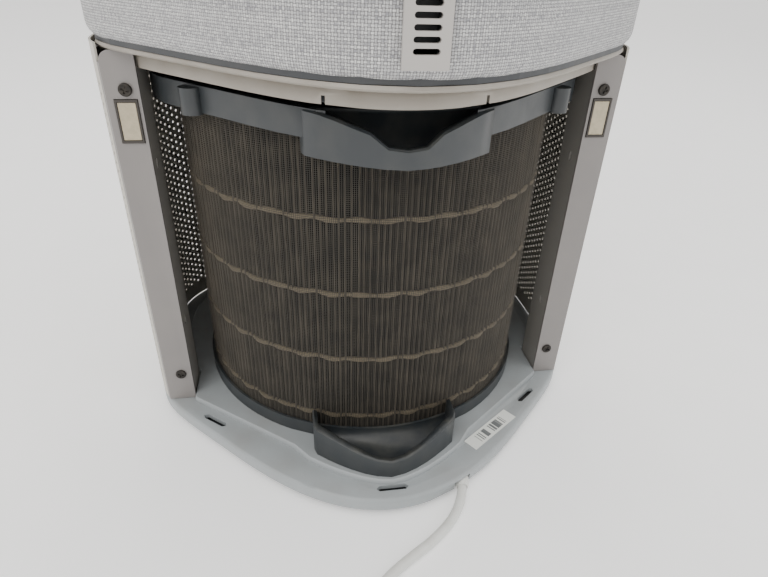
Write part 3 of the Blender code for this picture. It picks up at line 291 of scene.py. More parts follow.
def moulded_abs(name, hex_colour, dust_colour, roughness, dust=0.35, patch_mm=34.0, grain_depth=0.02):
    made, tree, shader = new_material(name, hex_colour, roughness)
    place = add_node(tree, "ShaderNodeTexCoord").outputs["Object"]
    up = add_node(tree, "ShaderNodeSeparateXYZ", links={
        "Vector": add_node(tree, "ShaderNodeNewGeometry").outputs["Normal"]}).outputs["Z"]
    settled = ramp(tree, up, 0.2, 1.0)
    patches = ramp(tree, noise(tree, place, patch_mm, 5.0), 0.42, 0.66)
    film = add_node(tree, "ShaderNodeMath", {"operation": "MULTIPLY_ADD", 1: 0.6, 2: 0.25}, {0: settled})
    amount = add_node(tree, "ShaderNodeMath", {"operation": "MULTIPLY"},
                      {0: patches, 1: film.outputs[0]})
    share = add_node(tree, "ShaderNodeMath", {"operation": "MULTIPLY", 1: dust}, {0: amount.outputs[0]})
    tree.links.new(mix_colours(tree, share.outputs[0], hex_colour, dust_colour),
                   shader.inputs["Base Color"])
    rubbed = noise(tree, place, 9.0, 4.0)
    rough = add_node(tree, "ShaderNodeMapRange", {"To Min": roughness - 0.08, "To Max": roughness + 0.12},
                     {"Value": rubbed})
    tree.links.new(rough.outputs["Result"], shader.inputs["Roughness"])
    add_bump(tree, shader, noise(tree, place, GRAIN_MM, 1.0), grain_depth)
    return made


tray_abs = moulded_abs("ABS tray moulding, satin", "#989d9f", "#7d7973", 0.42)
post_abs = moulded_abs("ABS post moulding, satin", "#7f7b79", "#928e87", 0.45, 0.5)
# The flange's own plastic is dark; its colour is painted lighter, as painted light for its inward face that
# gets little light.
flange_abs = moulded_abs("ABS flange, matt dark", "#8f8c87", "#98948a", 0.55, 0.5)
collar_abs = moulded_abs("ABS collar, worn satin", "#9b958c", "#7c7364", 0.45, 0.7, 16.0)
cover_abs = moulded_abs("ABS cover, satin", "#aaa6a2", "#98948c", 0.38, 0.3)
cap_abs = moulded_abs("ABS filter cap, blue-grey", "#2c3033", "#57564f", 0.38, 0.5, 14.0)
inner_abs = moulded_abs("ABS inner part, charcoal", "#35373a", "#57544e", 0.5, 0.5)
plug_pvc = moulded_abs("PVC lead and plug, off-white", "#d9dad6", "#b9b5ac", 0.4, 0.35, 12.0)
frame_abs = moulded_abs("ABS keeper frame, brown-black", "#38332e", "#4d473f", 0.5, 0.3)

# %% [markdown]
# ### Metals, rubber, boards and paper
#
# The keepers that the door's magnets hold are pressed steel with a tan
# passivated face.  Screws are blackened steel.  The feet are moulded rubber.
# Boards carry a green solder mask with pale printed blocks.  The rating label
# is white film with a row of plain bars and nothing that can be read.

# %% Other hard finishes
def sheet_metal(name, hex_colour, roughness, metallic, scratch_mm):
    made, tree, shader = new_material(name, hex_colour, roughness, metallic)
    place = add_node(tree, "ShaderNodeTexCoord").outputs["Object"]
    stretched = add_node(tree, "ShaderNodeMapping", {"Scale": (1.0, 1.0, 0.12)}, {"Vector": place})
    fine = noise(tree, stretched.outputs["Vector"], scratch_mm, 4.0)
    rough = add_node(tree, "ShaderNodeMapRange", {"To Min": roughness - 0.1, "To Max": roughness + 0.15},
                     {"Value": fine})
    tree.links.new(rough.outputs["Result"], shader.inputs["Roughness"])
    spots = ramp(tree, noise(tree, place, 3.0, 3.0), 0.4, 0.8)
    dull = add_node(tree, "ShaderNodeMath", {"operation": "MULTIPLY", 1: 0.3}, {0: spots})
    tree.links.new(mix_colours(tree, dull.outputs[0], hex_colour, "#6b6459"), shader.inputs["Base Color"])
    add_bump(tree, shader, fine, 0.01)
    return made


keeper_steel = sheet_metal("Passivated steel keeper, tan", "#b5aa92", 0.42, 0.25, 0.8)
screw_steel = sheet_metal("Blackened screw steel", "#2f2d2b", 0.42, 0.75, 0.5)
bare_steel = sheet_metal("Turned steel", "#b8b8b6", 0.3, 1.0, 0.6)
# The sheet's grey is painted lighter than its real paint, as painted light for its inner face that gets
# little light inside the body.
wall_paint = moulded_abs("Perforated sheet, grey paint", "#b9b5ac", "#bdb6a7", 0.5, 0.5, 20.0)
foot_rubber = moulded_abs("Moulded rubber, black", "#26262a", "#4b4945", 0.75, 0.4, 6.0, 0.05)
seal_foam = moulded_abs("Open-cell foam, charcoal", "#34353a", "#4d4b47", 0.9, 0.4, 5.0, 0.3)
carbon_mesh = moulded_abs("Carbon-coated mesh, black", "#1d1d1f", "#3c3a36", 0.85, 0.3, 5.0, 0.3)


def solder_mask():
    made, tree, shader = new_material("Circuit board, green solder mask", "#1d5a38", 0.35)
    place = add_node(tree, "ShaderNodeTexCoord").outputs["Object"]
    cells = add_node(tree, "ShaderNodeTexVoronoi", {"distance": "CHEBYCHEV",
                                                    "Scale": cycles_per_metre(5.0)}, {"Vector": place})
    parts = ramp(tree, cells.outputs["Distance"], 0.30, 0.28)
    tree.links.new(mix_colours(tree, parts, "#1d5a38", "#b9b7a8"), shader.inputs["Base Color"])
    return made


board_green = solder_mask()

LABEL_LOW, LABEL_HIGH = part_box("rating_label")
LABEL_CENTRE = (Vector(LABEL_LOW) + Vector(LABEL_HIGH)) / 2.0
LABEL_TURN = math.atan2(0.0302, 0.0422)
BAR_PITCH_MM = 0.9


def label_film():
    made, tree, shader = new_material("Label film, white with plain bars", "#dfe1dc", 0.35)
    place = add_node(tree, "ShaderNodeTexCoord").outputs["Object"]
    own = add_node(tree, "ShaderNodeMapping", {
        "vector_type": "TEXTURE", "Location": tuple(LABEL_CENTRE), "Rotation": (0.0, 0.0, LABEL_TURN)},
        {"Vector": place})
    axes = add_node(tree, "ShaderNodeSeparateXYZ", links={"Vector": own.outputs["Vector"]})
    cell = add_node(tree, "ShaderNodeMath", {"operation": "MULTIPLY", 1: cycles_per_metre(BAR_PITCH_MM)},
                    {0: axes.outputs["X"]})
    number = add_node(tree, "ShaderNodeMath", {"operation": "FLOOR"}, {0: cell.outputs[0]})
    random_value = add_node(tree, "ShaderNodeTexWhiteNoise", {"noise_dimensions": "1D"},
                            {"W": number.outputs[0]})
    dark = ramp(tree, random_value.outputs["Value"], 0.48, 0.52)
    for axis, half in (("X", 0.0140), ("Y", 0.0034)):
        size = add_node(tree, "ShaderNodeMath", {"operation": "ABSOLUTE"}, {0: axes.outputs[axis]})
        inside = add_node(tree, "ShaderNodeMath", {"operation": "LESS_THAN", 1: half}, {0: size.outputs[0]})
        dark = add_node(tree, "ShaderNodeMath", {"operation": "MULTIPLY"},
                        {0: dark, 1: inside.outputs[0]}).outputs[0]
    tree.links.new(mix_colours(tree, dark, "#dfe1dc", "#6c6f70"), shader.inputs["Base Color"])
    return made


label_white = label_film()

# %% [markdown]
# ## The lead
#
# A mains lead of an appliance like this is 1.8 m of round PVC cable, 6 mm
# thick.  It leaves a gland at the open corner and lies on the floor.  What
# isn't needed is wound into a coil: four turns on the floor, three more in
# the grooves between them, and a tail that comes down over the outer turn to
# the plug.  The free stretch is a list of given points, and the
# turns are worked out by a loop.

# %% Route of the lead
LEAD_DIAMETER = 0.006
LEAD_START = (
    (0.0498, -0.1467, 0.0052),
    (0.0478, -0.1560, 0.0052),
    (0.0463, -0.1630, 0.0052),
    (0.0450, -0.1690, 0.0052),
    (0.0447, -0.1704, 0.0052),
    (0.0410, -0.1788, 0.0038),
    (0.0355, -0.1868, 0.0032),
    (0.0280, -0.1945, 0.0032),
    (0.0170, -0.2030, 0.0032),
    (0.0040, -0.2110, 0.0032),
    (-0.0100, -0.2205, 0.0032),
    (-0.0230, -0.2330, 0.0032),
    (-0.0335, -0.2470, 0.0032),
    (-0.0450, -0.2620, 0.0032),
    (-0.0499, -0.2730, 0.0032),
)
LEAD_TAIL = (
    (0.0162, -0.3376, 0.0032),
    (0.0272, -0.3345, 0.0034),
    (0.0370, -0.3310, 0.0046),
    (0.0460, -0.3265, 0.0064),
    (0.0560, -0.3250, 0.0075),
    (0.0657, -0.3250, 0.0075),
)
COIL_CENTRE = (-0.0020, -0.2900)
COIL_FLOOR = 0.0034           # height of the lead's middle in the lower layer
COIL_OUTER = 0.0440
COIL_STEP = 0.0061            # from one turn to the next
COIL_ENTRY = math.radians(160.5)
COIL_EXIT = math.radians(291.0)
STEP_OVER = math.radians(48.0)   # the stretch in which every turn moves over
LEAVING = math.radians(76.0)     # the stretch in which the tail comes down


def ease(share):
    share = min(max(share, 0.0), 1.0)
    return share * share * (3.0 - 2.0 * share)


def coil_points(per_turn=32):
    """Points of the wound turns, as height and distance from the coil's middle."""
    lower = [COIL_OUTER - COIL_STEP * k for k in range(4)]
    upper = [COIL_OUTER - COIL_STEP * (k + 0.5) for k in (2, 1, 0)]
    radii = [COIL_OUTER + COIL_STEP] + lower + upper
    groove = COIL_FLOOR + COIL_STEP * math.sin(math.radians(60.0))
    levels = [0.0032] + [COIL_FLOOR] * 4 + [groove] * 3
    last_turn = COIL_EXIT - LEAVING - COIL_ENTRY
    end = math.tau * 7 + last_turn
    count = int(end / math.tau * per_turn)
    points = []
    for index in range(1, count + 1):
        wound = end * index / count
        turn_number = min(int(wound / math.tau), 7)
        share = ease((wound - math.tau * turn_number) / STEP_OVER)
        before, after = turn_number, min(turn_number + 1, 7)
        if before == 7:
            before = after
        radius = radii[before] + (radii[after] - radii[before]) * share
        height = levels[before] + (levels[after] - levels[before]) * share
        if before >= 4 and before != after:
            height += 0.0009 * math.sin(math.pi * share)
        points.append((radius, COIL_ENTRY + wound, height))
    ring = lower[0]
    for index in range(1, 13):
        lean = math.radians(-30.0 + 120.0 * ease(index / 12.0))
        points.append((ring + COIL_STEP * math.sin(lean) * 1.03, COIL_EXIT - LEAVING * (1.0 - index / 12.0)
                       + math.tau * 7, COIL_FLOOR + COIL_STEP * math.cos(lean) * 1.03))
    return [(COIL_CENTRE[0] + r * math.cos(t), COIL_CENTRE[1] + r * math.sin(t), z) for r, t, z in points]


def smooth_through(points, step):
    """Points of a smooth curve that passes through the given ones."""
    line = [Vector(p) for p in points]
    out = []
    for index in range(len(line) - 1):
        a, b = line[max(index - 1, 0)], line[index]
        c, d = line[index + 1], line[min(index + 2, len(line) - 1)]
        pieces = max(1, round((c - b).length / step))
        for part in range(pieces):
            t = part / pieces
            out.append(0.5 * ((2 * b) + (c - a) * t + (2 * a - 5 * b + 4 * c - d) * t * t
                              + (3 * b - 3 * c + d - a) * t ** 3))
    out.append(line[-1])
    return out


lead_route = smooth_through(list(LEAD_START) + coil_points()[:-1] + list(LEAD_TAIL), 0.004)
lead_length = sum((b - a).length for a, b in zip(lead_route, lead_route[1:]))
print(f"lead {lead_length:.3f} m, {len(lead_route)} points")


# %% Lead as a tube
def tube_along(name, route, radius):
    curve = bpy.data.curves.new(name, "CURVE")
    curve.dimensions = "3D"
    curve.bevel_depth = radius
    curve.bevel_resolution = 3
    curve.use_fill_caps = True
    spline = curve.splines.new("POLY")
    spline.points.add(len(route) - 1)
    for point, place in zip(spline.points, route):
        point.co = (*place, 1.0)
    spline.use_smooth = True
    made = bpy.data.objects.new(name, curve)
    bpy.context.scene.collection.objects.link(made)
    return made


lead = tube_along("mains_lead", lead_route, LEAD_DIAMETER / 2.0)
finish_piece(lead, plug_pvc, "purifier", ("mains_cord", "cord_coil", "mains_cord_tail"))

# %% [markdown]
# ## Smooth outlines from the frame's own parts
#
# The CAD parts have the right size but few corners, which is enough for
# contact and too coarse for the eye.  A round or a rounded-square part is
# refined here: a copy of its mesh gets new points on each edge that follows
# the outline, and every new point is drawn out to the true curve.  How far
# out a point lies is kept in the mesh as an attribute, so Blender itself
# works out the value of each new point.

# %% Rounded squares
BODY_POWER = 3.2
COLLAR_POWER = 3.8
CLOTH_POWER = 3.7
CAP_POWER = 4.0
ROUND = 2.0
SIDE_BLEND = 24.0


def outline_radius(half, power, turn):
    """Radius at a turn that starts at the -Y corner; side faces cut off the left and right."""
    across = abs(math.cos(turn - math.pi / 4.0))
    along = abs(math.sin(turn - math.pi / 4.0))
    corner = half / (across ** power + along ** power) ** (1.0 / power)
    if power == ROUND:
        return corner
    sideways = abs(math.sin(turn)) / half
    return (corner ** -SIDE_BLEND + sideways ** SIDE_BLEND) ** (-1.0 / SIDE_BLEND)


def outline_point(half, power, turn):
    radius = outline_radius(half, power, turn)
    return radius * math.sin(turn), -radius * math.cos(turn)


def half_at(x, y, power):
    """Half size of the rounded square that passes through a point."""
    turn = math.atan2(x, -y)
    return math.hypot(x, y) / outline_radius(1.0, power, turn)


def refine_outline(piece, power, centre=(0.0, 0.0), cuts=4, longest=0.030, within=lambda x, y, z: True):
    """Bring a part's coarse outline out to the true curve."""
    cx, cy = centre
    layer_name = "outline_half"
    edit(piece)
    shape = bmesh.from_edit_mesh(piece.data)
    layer = shape.verts.layers.float.new(layer_name)
    for vert in shape.verts:
        vert[layer] = half_at(vert.co.x - cx, vert.co.y - cy, power)
    bmesh.update_edit_mesh(piece.data)

    def follows(edge):
        a, b = edge.verts
        flat = abs(a.co.z - b.co.z) < 0.0004
        same = abs(a[layer] - b[layer]) < 0.0002
        return (flat and same and edge.calc_length() < longest
                and within(*a.co) and within(*b.co))

    pick(piece, "edges", follows)
    bpy.ops.mesh.subdivide(number_cuts=cuts)
    shape = bmesh.from_edit_mesh(piece.data)
    layer = shape.verts.layers.float[layer_name]
    for vert in shape.verts:
        x, y = vert.co.x - cx, vert.co.y - cy
        if vert.select and math.hypot(x, y) > 0.002:
            grow = vert[layer] / half_at(x, y, power)
            vert.co.x = cx + x * grow
            vert.co.y = cy + y * grow
    shape.verts.layers.float.remove(layer)
    bmesh.update_edit_mesh(piece.data)
    done()
    return piece


# %% Tray, collar, top cover and filter caps
TRAY_RIM_HALF = 0.1525        # the outline bands that are refined start at these half sizes
COVER_BAND_HALF = 0.1365
CAP_BAND_HALF = 0.1295
OPENING_BAND = (0.1205, 0.1375)   # radii between which the cover's round edges lie
tray = refine_outline(copy_of("base_tray", "tray_moulding"), BODY_POWER,
                      within=lambda x, y, z: half_at(x, y, BODY_POWER) > TRAY_RIM_HALF)
finish_piece(tray, tray_abs, "purifier", ("base_tray",))

BEAD_GROWS = 0.0032           # how far the collar's bead is drawn out over the posts
BEAD_FROM_HALF = 0.1490       # the half size beyond which a point belongs to the bead
collar = refine_outline(copy_of("collar_ring", "collar_moulding"), COLLAR_POWER)
for vert in collar.data.vertices:
    if half_at(vert.co.x, vert.co.y, COLLAR_POWER) > BEAD_FROM_HALF:
        reach = math.hypot(vert.co.x, vert.co.y)
        vert.co.x += BEAD_GROWS * vert.co.x / reach
        vert.co.y += BEAD_GROWS * vert.co.y / reach
finish_piece(collar, collar_abs, "purifier", ("collar_ring",))

cover = refine_outline(copy_of("top_cover", "cover_moulding"), CLOTH_POWER,
                       within=lambda x, y, z: half_at(x, y, CLOTH_POWER) > COVER_BAND_HALF)
refine_outline(cover, ROUND, within=lambda x, y, z: OPENING_BAND[0] < math.hypot(x, y) < OPENING_BAND[1])
finish_piece(cover, cover_abs, "purifier", ("top_cover",))

FILTER_LOW, FILTER_HIGH = (Vector(corner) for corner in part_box("filter_media"))
FILTER_CENTRE = (0.0, (FILTER_LOW.y + FILTER_HIGH.y) / 2.0)
RIM_BAND = (0.1190, 0.1215)   # radii of the rim, from the drum's axis
RIM_REACH = 0.1212            # points further out to the side than this are left as they are
CAP_FRONT_Y = -0.02           # the upper cap follows the body in front of this
CAP_BAND_HEIGHT = 0.0095      # of the upper cap's outer wall
CAP_BAND_DROPS = 0.0040
CAP_BAND_NEAR = 0.0015        # points this near the wall's lower edge move with it


def on_rim(x, y, z):
    """Whether a point lies on the round rim of a cap, clear of the handle."""
    away = math.hypot(x - FILTER_CENTRE[0], y - FILTER_CENTRE[1])
    return RIM_BAND[0] < away < RIM_BAND[1] and abs(x) < RIM_REACH


for node, name in (("filter_cap_bottom", "lower_cap"), ("filter_cap_top", "upper_cap")):
    cap = refine_outline(copy_of(node, name), ROUND, FILTER_CENTRE, within=on_rim)
    if node == "filter_cap_top":
        wall_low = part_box(node)[1][2] - CAP_BAND_HEIGHT
        for vert in cap.data.vertices:
            if abs(vert.co.z - wall_low) < CAP_BAND_NEAR:
                vert.co.z -= CAP_BAND_DROPS
        refine_outline(cap, CAP_POWER, within=lambda x, y, z: (
            y < CAP_FRONT_Y and half_at(x, y, CAP_POWER) > CAP_BAND_HALF))
    finish_piece(cap, cap_abs, "filter", (node,))

# %% [markdown]
# ## The cloth
#
# The housing wears a stretched sleeve of plain-woven melange cloth.  Warp and
# weft pass over and under each other, and each yarn is spun from light and
# dark fibres, so no two threads have quite the same grey.  The sleeve is a
# ring of points extruded upwards and drawn out to the outline, with its lower
# hem rolled under and a window for the air sensor.  Its own coordinates run
# along the cloth in metres, so that the weave follows it round the corners.

# %% Sleeve
CLOTH_HALF = 0.1565
CLOTH_LOW, CLOTH_HIGH = (Vector(corner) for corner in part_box("fabric_wrap"))
CLOTH_THICKNESS = 0.0014
CLOTH_POINTS = 288
CLOTH_ROWS = 24
WINDOW_HALF = 0.0070
WINDOW_LOW, WINDOW_HIGH = 0.2618, 0.3040
HEM = (                      # inwards from the face, upwards from the lower edge, in mm
    (10.0, 0.9), (8.0, 0.1), (5.9, 0.35), (4.0, 1.1), (2.4, 2.3), (1.1, 4.0), (0.3, 6.0), (0.0, 8.2),
)


def ring_wall(name, levels, points, power):
    """An open wall: a circle extruded once for each level and drawn to its outline."""
    bpy.ops.mesh.primitive_circle_add(vertices=points, radius=1.0, fill_type="NOTHING")
    wall = bpy.context.object
    wall.name = name
    edit(wall)
    bpy.ops.mesh.select_all(action="SELECT")
    for _ in levels[1:]:
        bpy.ops.mesh.extrude_region_move(TRANSFORM_OT_translate={"value": (0.0, 0.0, 1.0)})
    done()
    for vert in wall.data.vertices:
        half, height = levels[round(vert.co.z)]
        x, y = outline_point(half, power, math.atan2(vert.co.x, -vert.co.y))
        vert.co = (x, y, height)
    edit(wall)
    bpy.ops.mesh.select_all(action="SELECT")
    bpy.ops.mesh.normals_make_consistent(inside=False)
    done()
    face = max(wall.data.polygons, key=lambda f: abs(f.normal.x) + abs(f.normal.y))
    if face.normal.x * face.center.x + face.normal.y * face.center.y < 0.0:
        edit(wall)
        bpy.ops.mesh.select_all(action="SELECT")
        bpy.ops.mesh.flip_normals()
        done()
    return wall


def outline_table(half, power, count=1440):
    """Turns and the lengths along the outline up to each, from the back."""
    turns = np.linspace(-math.pi, math.pi, count + 1)
    places = np.array([outline_point(half, power, t) for t in turns])
    steps = np.hypot(*np.diff(places, axis=0).T)
    return turns, np.concatenate(([0.0], np.cumsum(steps)))


def unwrap_round(piece, half, power):
    """Give a wall its own coordinates: metres along the outline and metres up."""
    turns, lengths = outline_table(half, power)
    layer = piece.data.uv_layers.new(name="along")
    for face in piece.data.polygons:
        for loop in face.loop_indices:
            place = piece.data.vertices[piece.data.loops[loop].vertex_index].co
            turn = math.atan2(place.x, -place.y)
            if abs(turn) > 3.0 and turn * face.center.x < 0.0:
                turn = -turn
            layer.data[loop].uv = (np.interp(turn, turns, lengths) - lengths[-1] / 2.0, place.z)


levels = [(CLOTH_HALF - inwards * MM, CLOTH_LOW.z + upwards * MM) for inwards, upwards in HEM]
first = levels[-1][1]
for row in range(1, CLOTH_ROWS + 1):
    levels.append((CLOTH_HALF, first + (CLOTH_HIGH.z - first) * row / CLOTH_ROWS))
sleeve = ring_wall("cloth_sleeve", levels, CLOTH_POINTS, CLOTH_POWER)

edit(sleeve)
for x in (-WINDOW_HALF, WINDOW_HALF):
    bpy.ops.mesh.select_all(action="SELECT")
    bpy.ops.mesh.bisect(plane_co=(x, 0.0, 0.0), plane_no=(1.0, 0.0, 0.0))
for z in (WINDOW_LOW, WINDOW_HIGH):
    bpy.ops.mesh.select_all(action="SELECT")
    bpy.ops.mesh.bisect(plane_co=(0.0, 0.0, z), plane_no=(0.0, 0.0, 1.0))
pick(sleeve, "faces", lambda f: abs(f.calc_center_median().x) < WINDOW_HALF
     and f.calc_center_median().y < 0.0 and WINDOW_LOW < f.calc_center_median().z < WINDOW_HIGH)
bpy.ops.mesh.delete(type="FACE")
done()
unwrap_round(sleeve, CLOTH_HALF, CLOTH_POWER)
apply_modifier(sleeve, "SOLIDIFY", thickness=CLOTH_THICKNESS, offset=-1.0)

# %% [markdown]
# ### The weave
#
# Each cell of a checkerboard shows either a warp thread or a weft thread on
# top.  The thread's roundness gives the height, a random value for each
# thread gives its own grey, and a noise stretched along the thread gives the
# slubs.  The real pitch is finer; 1.25 mm is drawn, because finer does not
# show at the main camera's distance.

# %% Melange cloth
THREAD_MM = 1.25


def thread_parts(tree, coordinate):
    """Number of the thread, and how high its round back stands, at a coordinate."""
    scaled = add_node(tree, "ShaderNodeMath", {"operation": "MULTIPLY", 1: cycles_per_metre(THREAD_MM)},
                      {0: coordinate}).outputs[0]
    number = add_node(tree, "ShaderNodeMath", {"operation": "FLOOR"}, {0: scaled}).outputs[0]
    part = add_node(tree, "ShaderNodeMath", {"operation": "FRACT"}, {0: scaled}).outputs[0]
    angle = add_node(tree, "ShaderNodeMath", {"operation": "MULTIPLY", 1: math.pi}, {0: part}).outputs[0]
    back = add_node(tree, "ShaderNodeMath", {"operation": "SINE"}, {0: angle}).outputs[0]
    return number, back


def thread_grey(tree, number, place, stretch, seed):
    """A thread's own grey with slubs along it."""
    own = add_node(tree, "ShaderNodeTexWhiteNoise", {"noise_dimensions": "1D"}, {"W": add_node(
        tree, "ShaderNodeMath", {"operation": "ADD", 1: seed}, {0: number}).outputs[0]}).outputs["Value"]
    along = add_node(tree, "ShaderNodeMapping", {"Scale": stretch, "Location": (seed, seed, 0.0)},
                     {"Vector": place}).outputs["Vector"]
    slub = noise(tree, along, 1.0, 3.0)
    wide = add_node(tree, "ShaderNodeMath", {"operation": "MULTIPLY_ADD", 1: 0.34, 2: -0.17}, {0: own})
    strong = add_node(tree, "ShaderNodeMapRange", {"From Min": 0.3, "From Max": 0.7}, {"Value": slub})
    return add_node(tree, "ShaderNodeMath", {"operation": "ADD", "use_clamp": True},
                    {0: wide.outputs[0], 1: strong.outputs["Result"]}).outputs[0]


def melange_cloth():
    made, tree, shader = new_material("Plain-woven melange cloth, grey", "#b4b5b6", 0.9)
    shader.inputs["Sheen Weight"].default_value = 0.25
    shader.inputs["Sheen Roughness"].default_value = 0.6
    place = add_node(tree, "ShaderNodeUVMap", {"uv_map": "along"}).outputs["UV"]
    axes = add_node(tree, "ShaderNodeSeparateXYZ", links={"Vector": place})
    warp_number, warp_back = thread_parts(tree, axes.outputs["X"])
    weft_number, weft_back = thread_parts(tree, axes.outputs["Y"])
    both = add_node(tree, "ShaderNodeMath", {"operation": "ADD"}, {0: warp_number, 1: weft_number})
    over = add_node(tree, "ShaderNodeMath", {"operation": "FLOORED_MODULO", 1: 2.0}, {0: both.outputs[0]})
    warp_grey = thread_grey(tree, warp_number, place, (1.0, 0.22, 1.0), 3.0)
    weft_grey = thread_grey(tree, weft_number, place, (0.22, 1.0, 1.0), 57.0)
    grey = add_node(tree, "ShaderNodeMix", {}, {"Factor": over.outputs[0], 2: warp_grey, 3: weft_grey})
    top = add_node(tree, "ShaderNodeMix", {}, {"Factor": over.outputs[0], 2: warp_back, 3: weft_back})
    under = add_node(tree, "ShaderNodeMix", {}, {"Factor": over.outputs[0], 2: weft_back, 3: warp_back})
    crown = add_node(tree, "ShaderNodeMath", {"operation": "MULTIPLY_ADD", 1: 0.35, 2: 0.65},
                     {0: under.outputs[0]})
    height = add_node(tree, "ShaderNodeMath", {"operation": "MULTIPLY"},
                      {0: top.outputs[0], 1: crown.outputs[0]}).outputs[0]
    colour = mix_colours(tree, grey.outputs[0], "#85858a", "#d6d6d4")
    # Low parts of the weave, the yarns' sides and the gaps between them, are painted a darker grey as shade.
    painted_gap_shade = ramp(tree, height, 0.30, 0.62)
    tree.links.new(mix_colours(tree, painted_gap_shade, "#716f70", colour), shader.inputs["Base Color"])
    add_bump(tree, shader, height, 0.28)
    return made


cloth = melange_cloth()
finish_piece(sleeve, cloth, "purifier", ("fabric_wrap",), smooth=60.0)

# %% [markdown]
# ## Pleated paper
#
# The drum is one long strip of filter paper folded into some two hundred
# pleats, stiffened by four beads of hot glue that run round it.  A ring with
# five points for each pleat is extruded upwards, and each point is then put
# on a tip, a flank or a valley.  Paper never folds evenly: every pleat gets
# its own small lean, and it bulges a little between the beads.

# %% Pleats
PLEATS = 212
PLEAT_ROWS = 30
PLEAT_PLAN = ((-0.13, 0.0004), (0.0, 0.0), (0.13, 0.0004), (0.42, 0.98), (0.58, 0.98))
BEAD_HEIGHTS = (0.035, 0.081, 0.127, 0.173)
BEAD_RADIUS = 0.0012
media_outer = (FILTER_HIGH.x - FILTER_LOW.x) / 2.0 - 0.0003
media_depth = 0.0352

chance = random.Random(11)
leans = [chance.uniform(-1.0, 1.0) for _ in range(PLEATS)]
sinks = [chance.random() ** 2 for _ in range(PLEATS)]


def pleat_point(number, corner, height):
    """Where one corner of one pleat lies at a height."""
    turn_share, depth = PLEAT_PLAN[corner]
    nearest = min(abs(height - bead) for bead in BEAD_HEIGHTS)
    free = min(nearest / 0.02, 1.0)
    step = math.tau / PLEATS
    sway = 0.16 * leans[number] + 0.05 * free * math.sin(height * 190.0 + number * 1.7)
    turn = (number + turn_share + sway * (1.0 if depth < 0.5 else 0.3)) * step
    if depth < 0.5:
        radius = media_outer - depth - 0.0007 * sinks[number] * (0.4 + 0.6 * free)
    else:
        radius = media_outer - media_depth * depth
    return (FILTER_CENTRE[0] + radius * math.sin(turn), FILTER_CENTRE[1] - radius * math.cos(turn), height)


corners = len(PLEAT_PLAN)
bpy.ops.mesh.primitive_circle_add(vertices=PLEATS * corners, radius=1.0, fill_type="NOTHING")
pleats = bpy.context.object
pleats.name = "pleated_paper"
edit(pleats)
bpy.ops.mesh.select_all(action="SELECT")
for _ in range(PLEAT_ROWS):
    bpy.ops.mesh.extrude_region_move(TRANSFORM_OT_translate={"value": (0.0, 0.0, 1.0)})
done()
low, high = FILTER_LOW.z + 0.0003, FILTER_HIGH.z - 0.0003
for vert in pleats.data.vertices:
    place = round((math.atan2(vert.co.x, -vert.co.y) % math.tau) / math.tau * PLEATS * corners)
    number, corner = divmod(place % (PLEATS * corners), corners)
    vert.co = pleat_point(number, corner, low + (high - low) * round(vert.co.z) / PLEAT_ROWS)
edit(pleats)
bpy.ops.mesh.select_all(action="SELECT")
bpy.ops.mesh.normals_make_consistent(inside=False)
done()

# %% Glue beads
bpy.ops.mesh.primitive_torus_add(major_radius=media_outer, minor_radius=BEAD_RADIUS,
                                 major_segments=PLEATS * 4, minor_segments=6)
bead = bpy.context.object
bead.name = "glue_bead_1"
for vert in bead.data.vertices:
    turn = math.atan2(vert.co.x, -vert.co.y)
    reach = math.hypot(vert.co.x, vert.co.y) - media_outer
    number = turn / math.tau * PLEATS
    valley = 0.5 - 0.5 * math.cos(math.tau * number)
    radius = media_outer - 0.0002 + reach - 0.0016 * valley
    height = vert.co.z * (1.0 + 0.5 * (1.0 - valley)) + 0.0005 * math.sin(number * 0.9) - 0.0004 * valley
    vert.co = (FILTER_CENTRE[0] + radius * math.sin(turn), FILTER_CENTRE[1] - radius * math.cos(turn), height)
beads = [bead]
for number in range(2, 5):
    copied = bpy.data.objects.new(f"glue_bead_{number}", bead.data.copy())
    bpy.context.scene.collection.objects.link(copied)
    beads.append(copied)
for piece, height in zip(beads, BEAD_HEIGHTS):
    piece.location = (0.0, 0.0, height)
    piece.rotation_euler = (0.0, 0.0, 0.0)
    settle(piece)


# %% Paper and glue
def from_axis(tree):
    """Distance of a point from the drum's axis, and its height."""
    place = add_node(tree, "ShaderNodeTexCoord").outputs["Object"]
    own = add_node(tree, "ShaderNodeVectorMath", {
        "operation": "SUBTRACT", 1: (FILTER_CENTRE[0], FILTER_CENTRE[1], 0.0)}, {0: place})
    axes = add_node(tree, "ShaderNodeSeparateXYZ", links={"Vector": own.outputs["Vector"]})
    flat = add_node(tree, "ShaderNodeCombineXYZ", links={"X": axes.outputs["X"], "Y": axes.outputs["Y"]})
    length = add_node(tree, "ShaderNodeVectorMath", {"operation": "LENGTH"}, {0: flat.outputs["Vector"]})
    return place, length.outputs["Value"]


def filter_paper():
    made, tree, shader = new_material("Pleated filter paper, loaded with dust", "#4a443b", 0.95)
    place, distance = from_axis(tree)
    # Colour by depth into the pleats: the outer 3.5 mm takes the dusty tip colour, and the paper deeper in
    # the folds is painted near black as shade in the valleys.
    tip = ramp(tree, distance, media_outer - 0.0035, media_outer)
    fibre = noise(tree, place, 0.9, 5.0)
    cake = ramp(tree, noise(tree, place, 22.0, 3.0), 0.35, 0.7)
    paper = mix_colours(tree, fibre, "#1f1c18", "#36312a")
    dust = mix_colours(tree, cake, "#453f36", "#5c5448")
    tree.links.new(mix_colours(tree, tip, paper, dust), shader.inputs["Base Color"])
    add_bump(tree, shader, fibre, 0.12)
    return made


def hot_glue():
    made, tree, shader = new_material("Hot-melt glue under dust", "#877b66", 0.7)
    place = add_node(tree, "ShaderNodeTexCoord").outputs["Object"]
    fibre = noise(tree, place, 1.2, 4.0)
    tree.links.new(mix_colours(tree, fibre, "#5a5141", "#82765f"), shader.inputs["Base Color"])
    add_bump(tree, shader, fibre, 0.25)
    return made


finish_piece(pleats, filter_paper(), "filter", ("filter_media",), smooth=25.0)
glue = hot_glue()
for piece in beads:
    finish_piece(piece, glue, "filter", smooth=60.0)
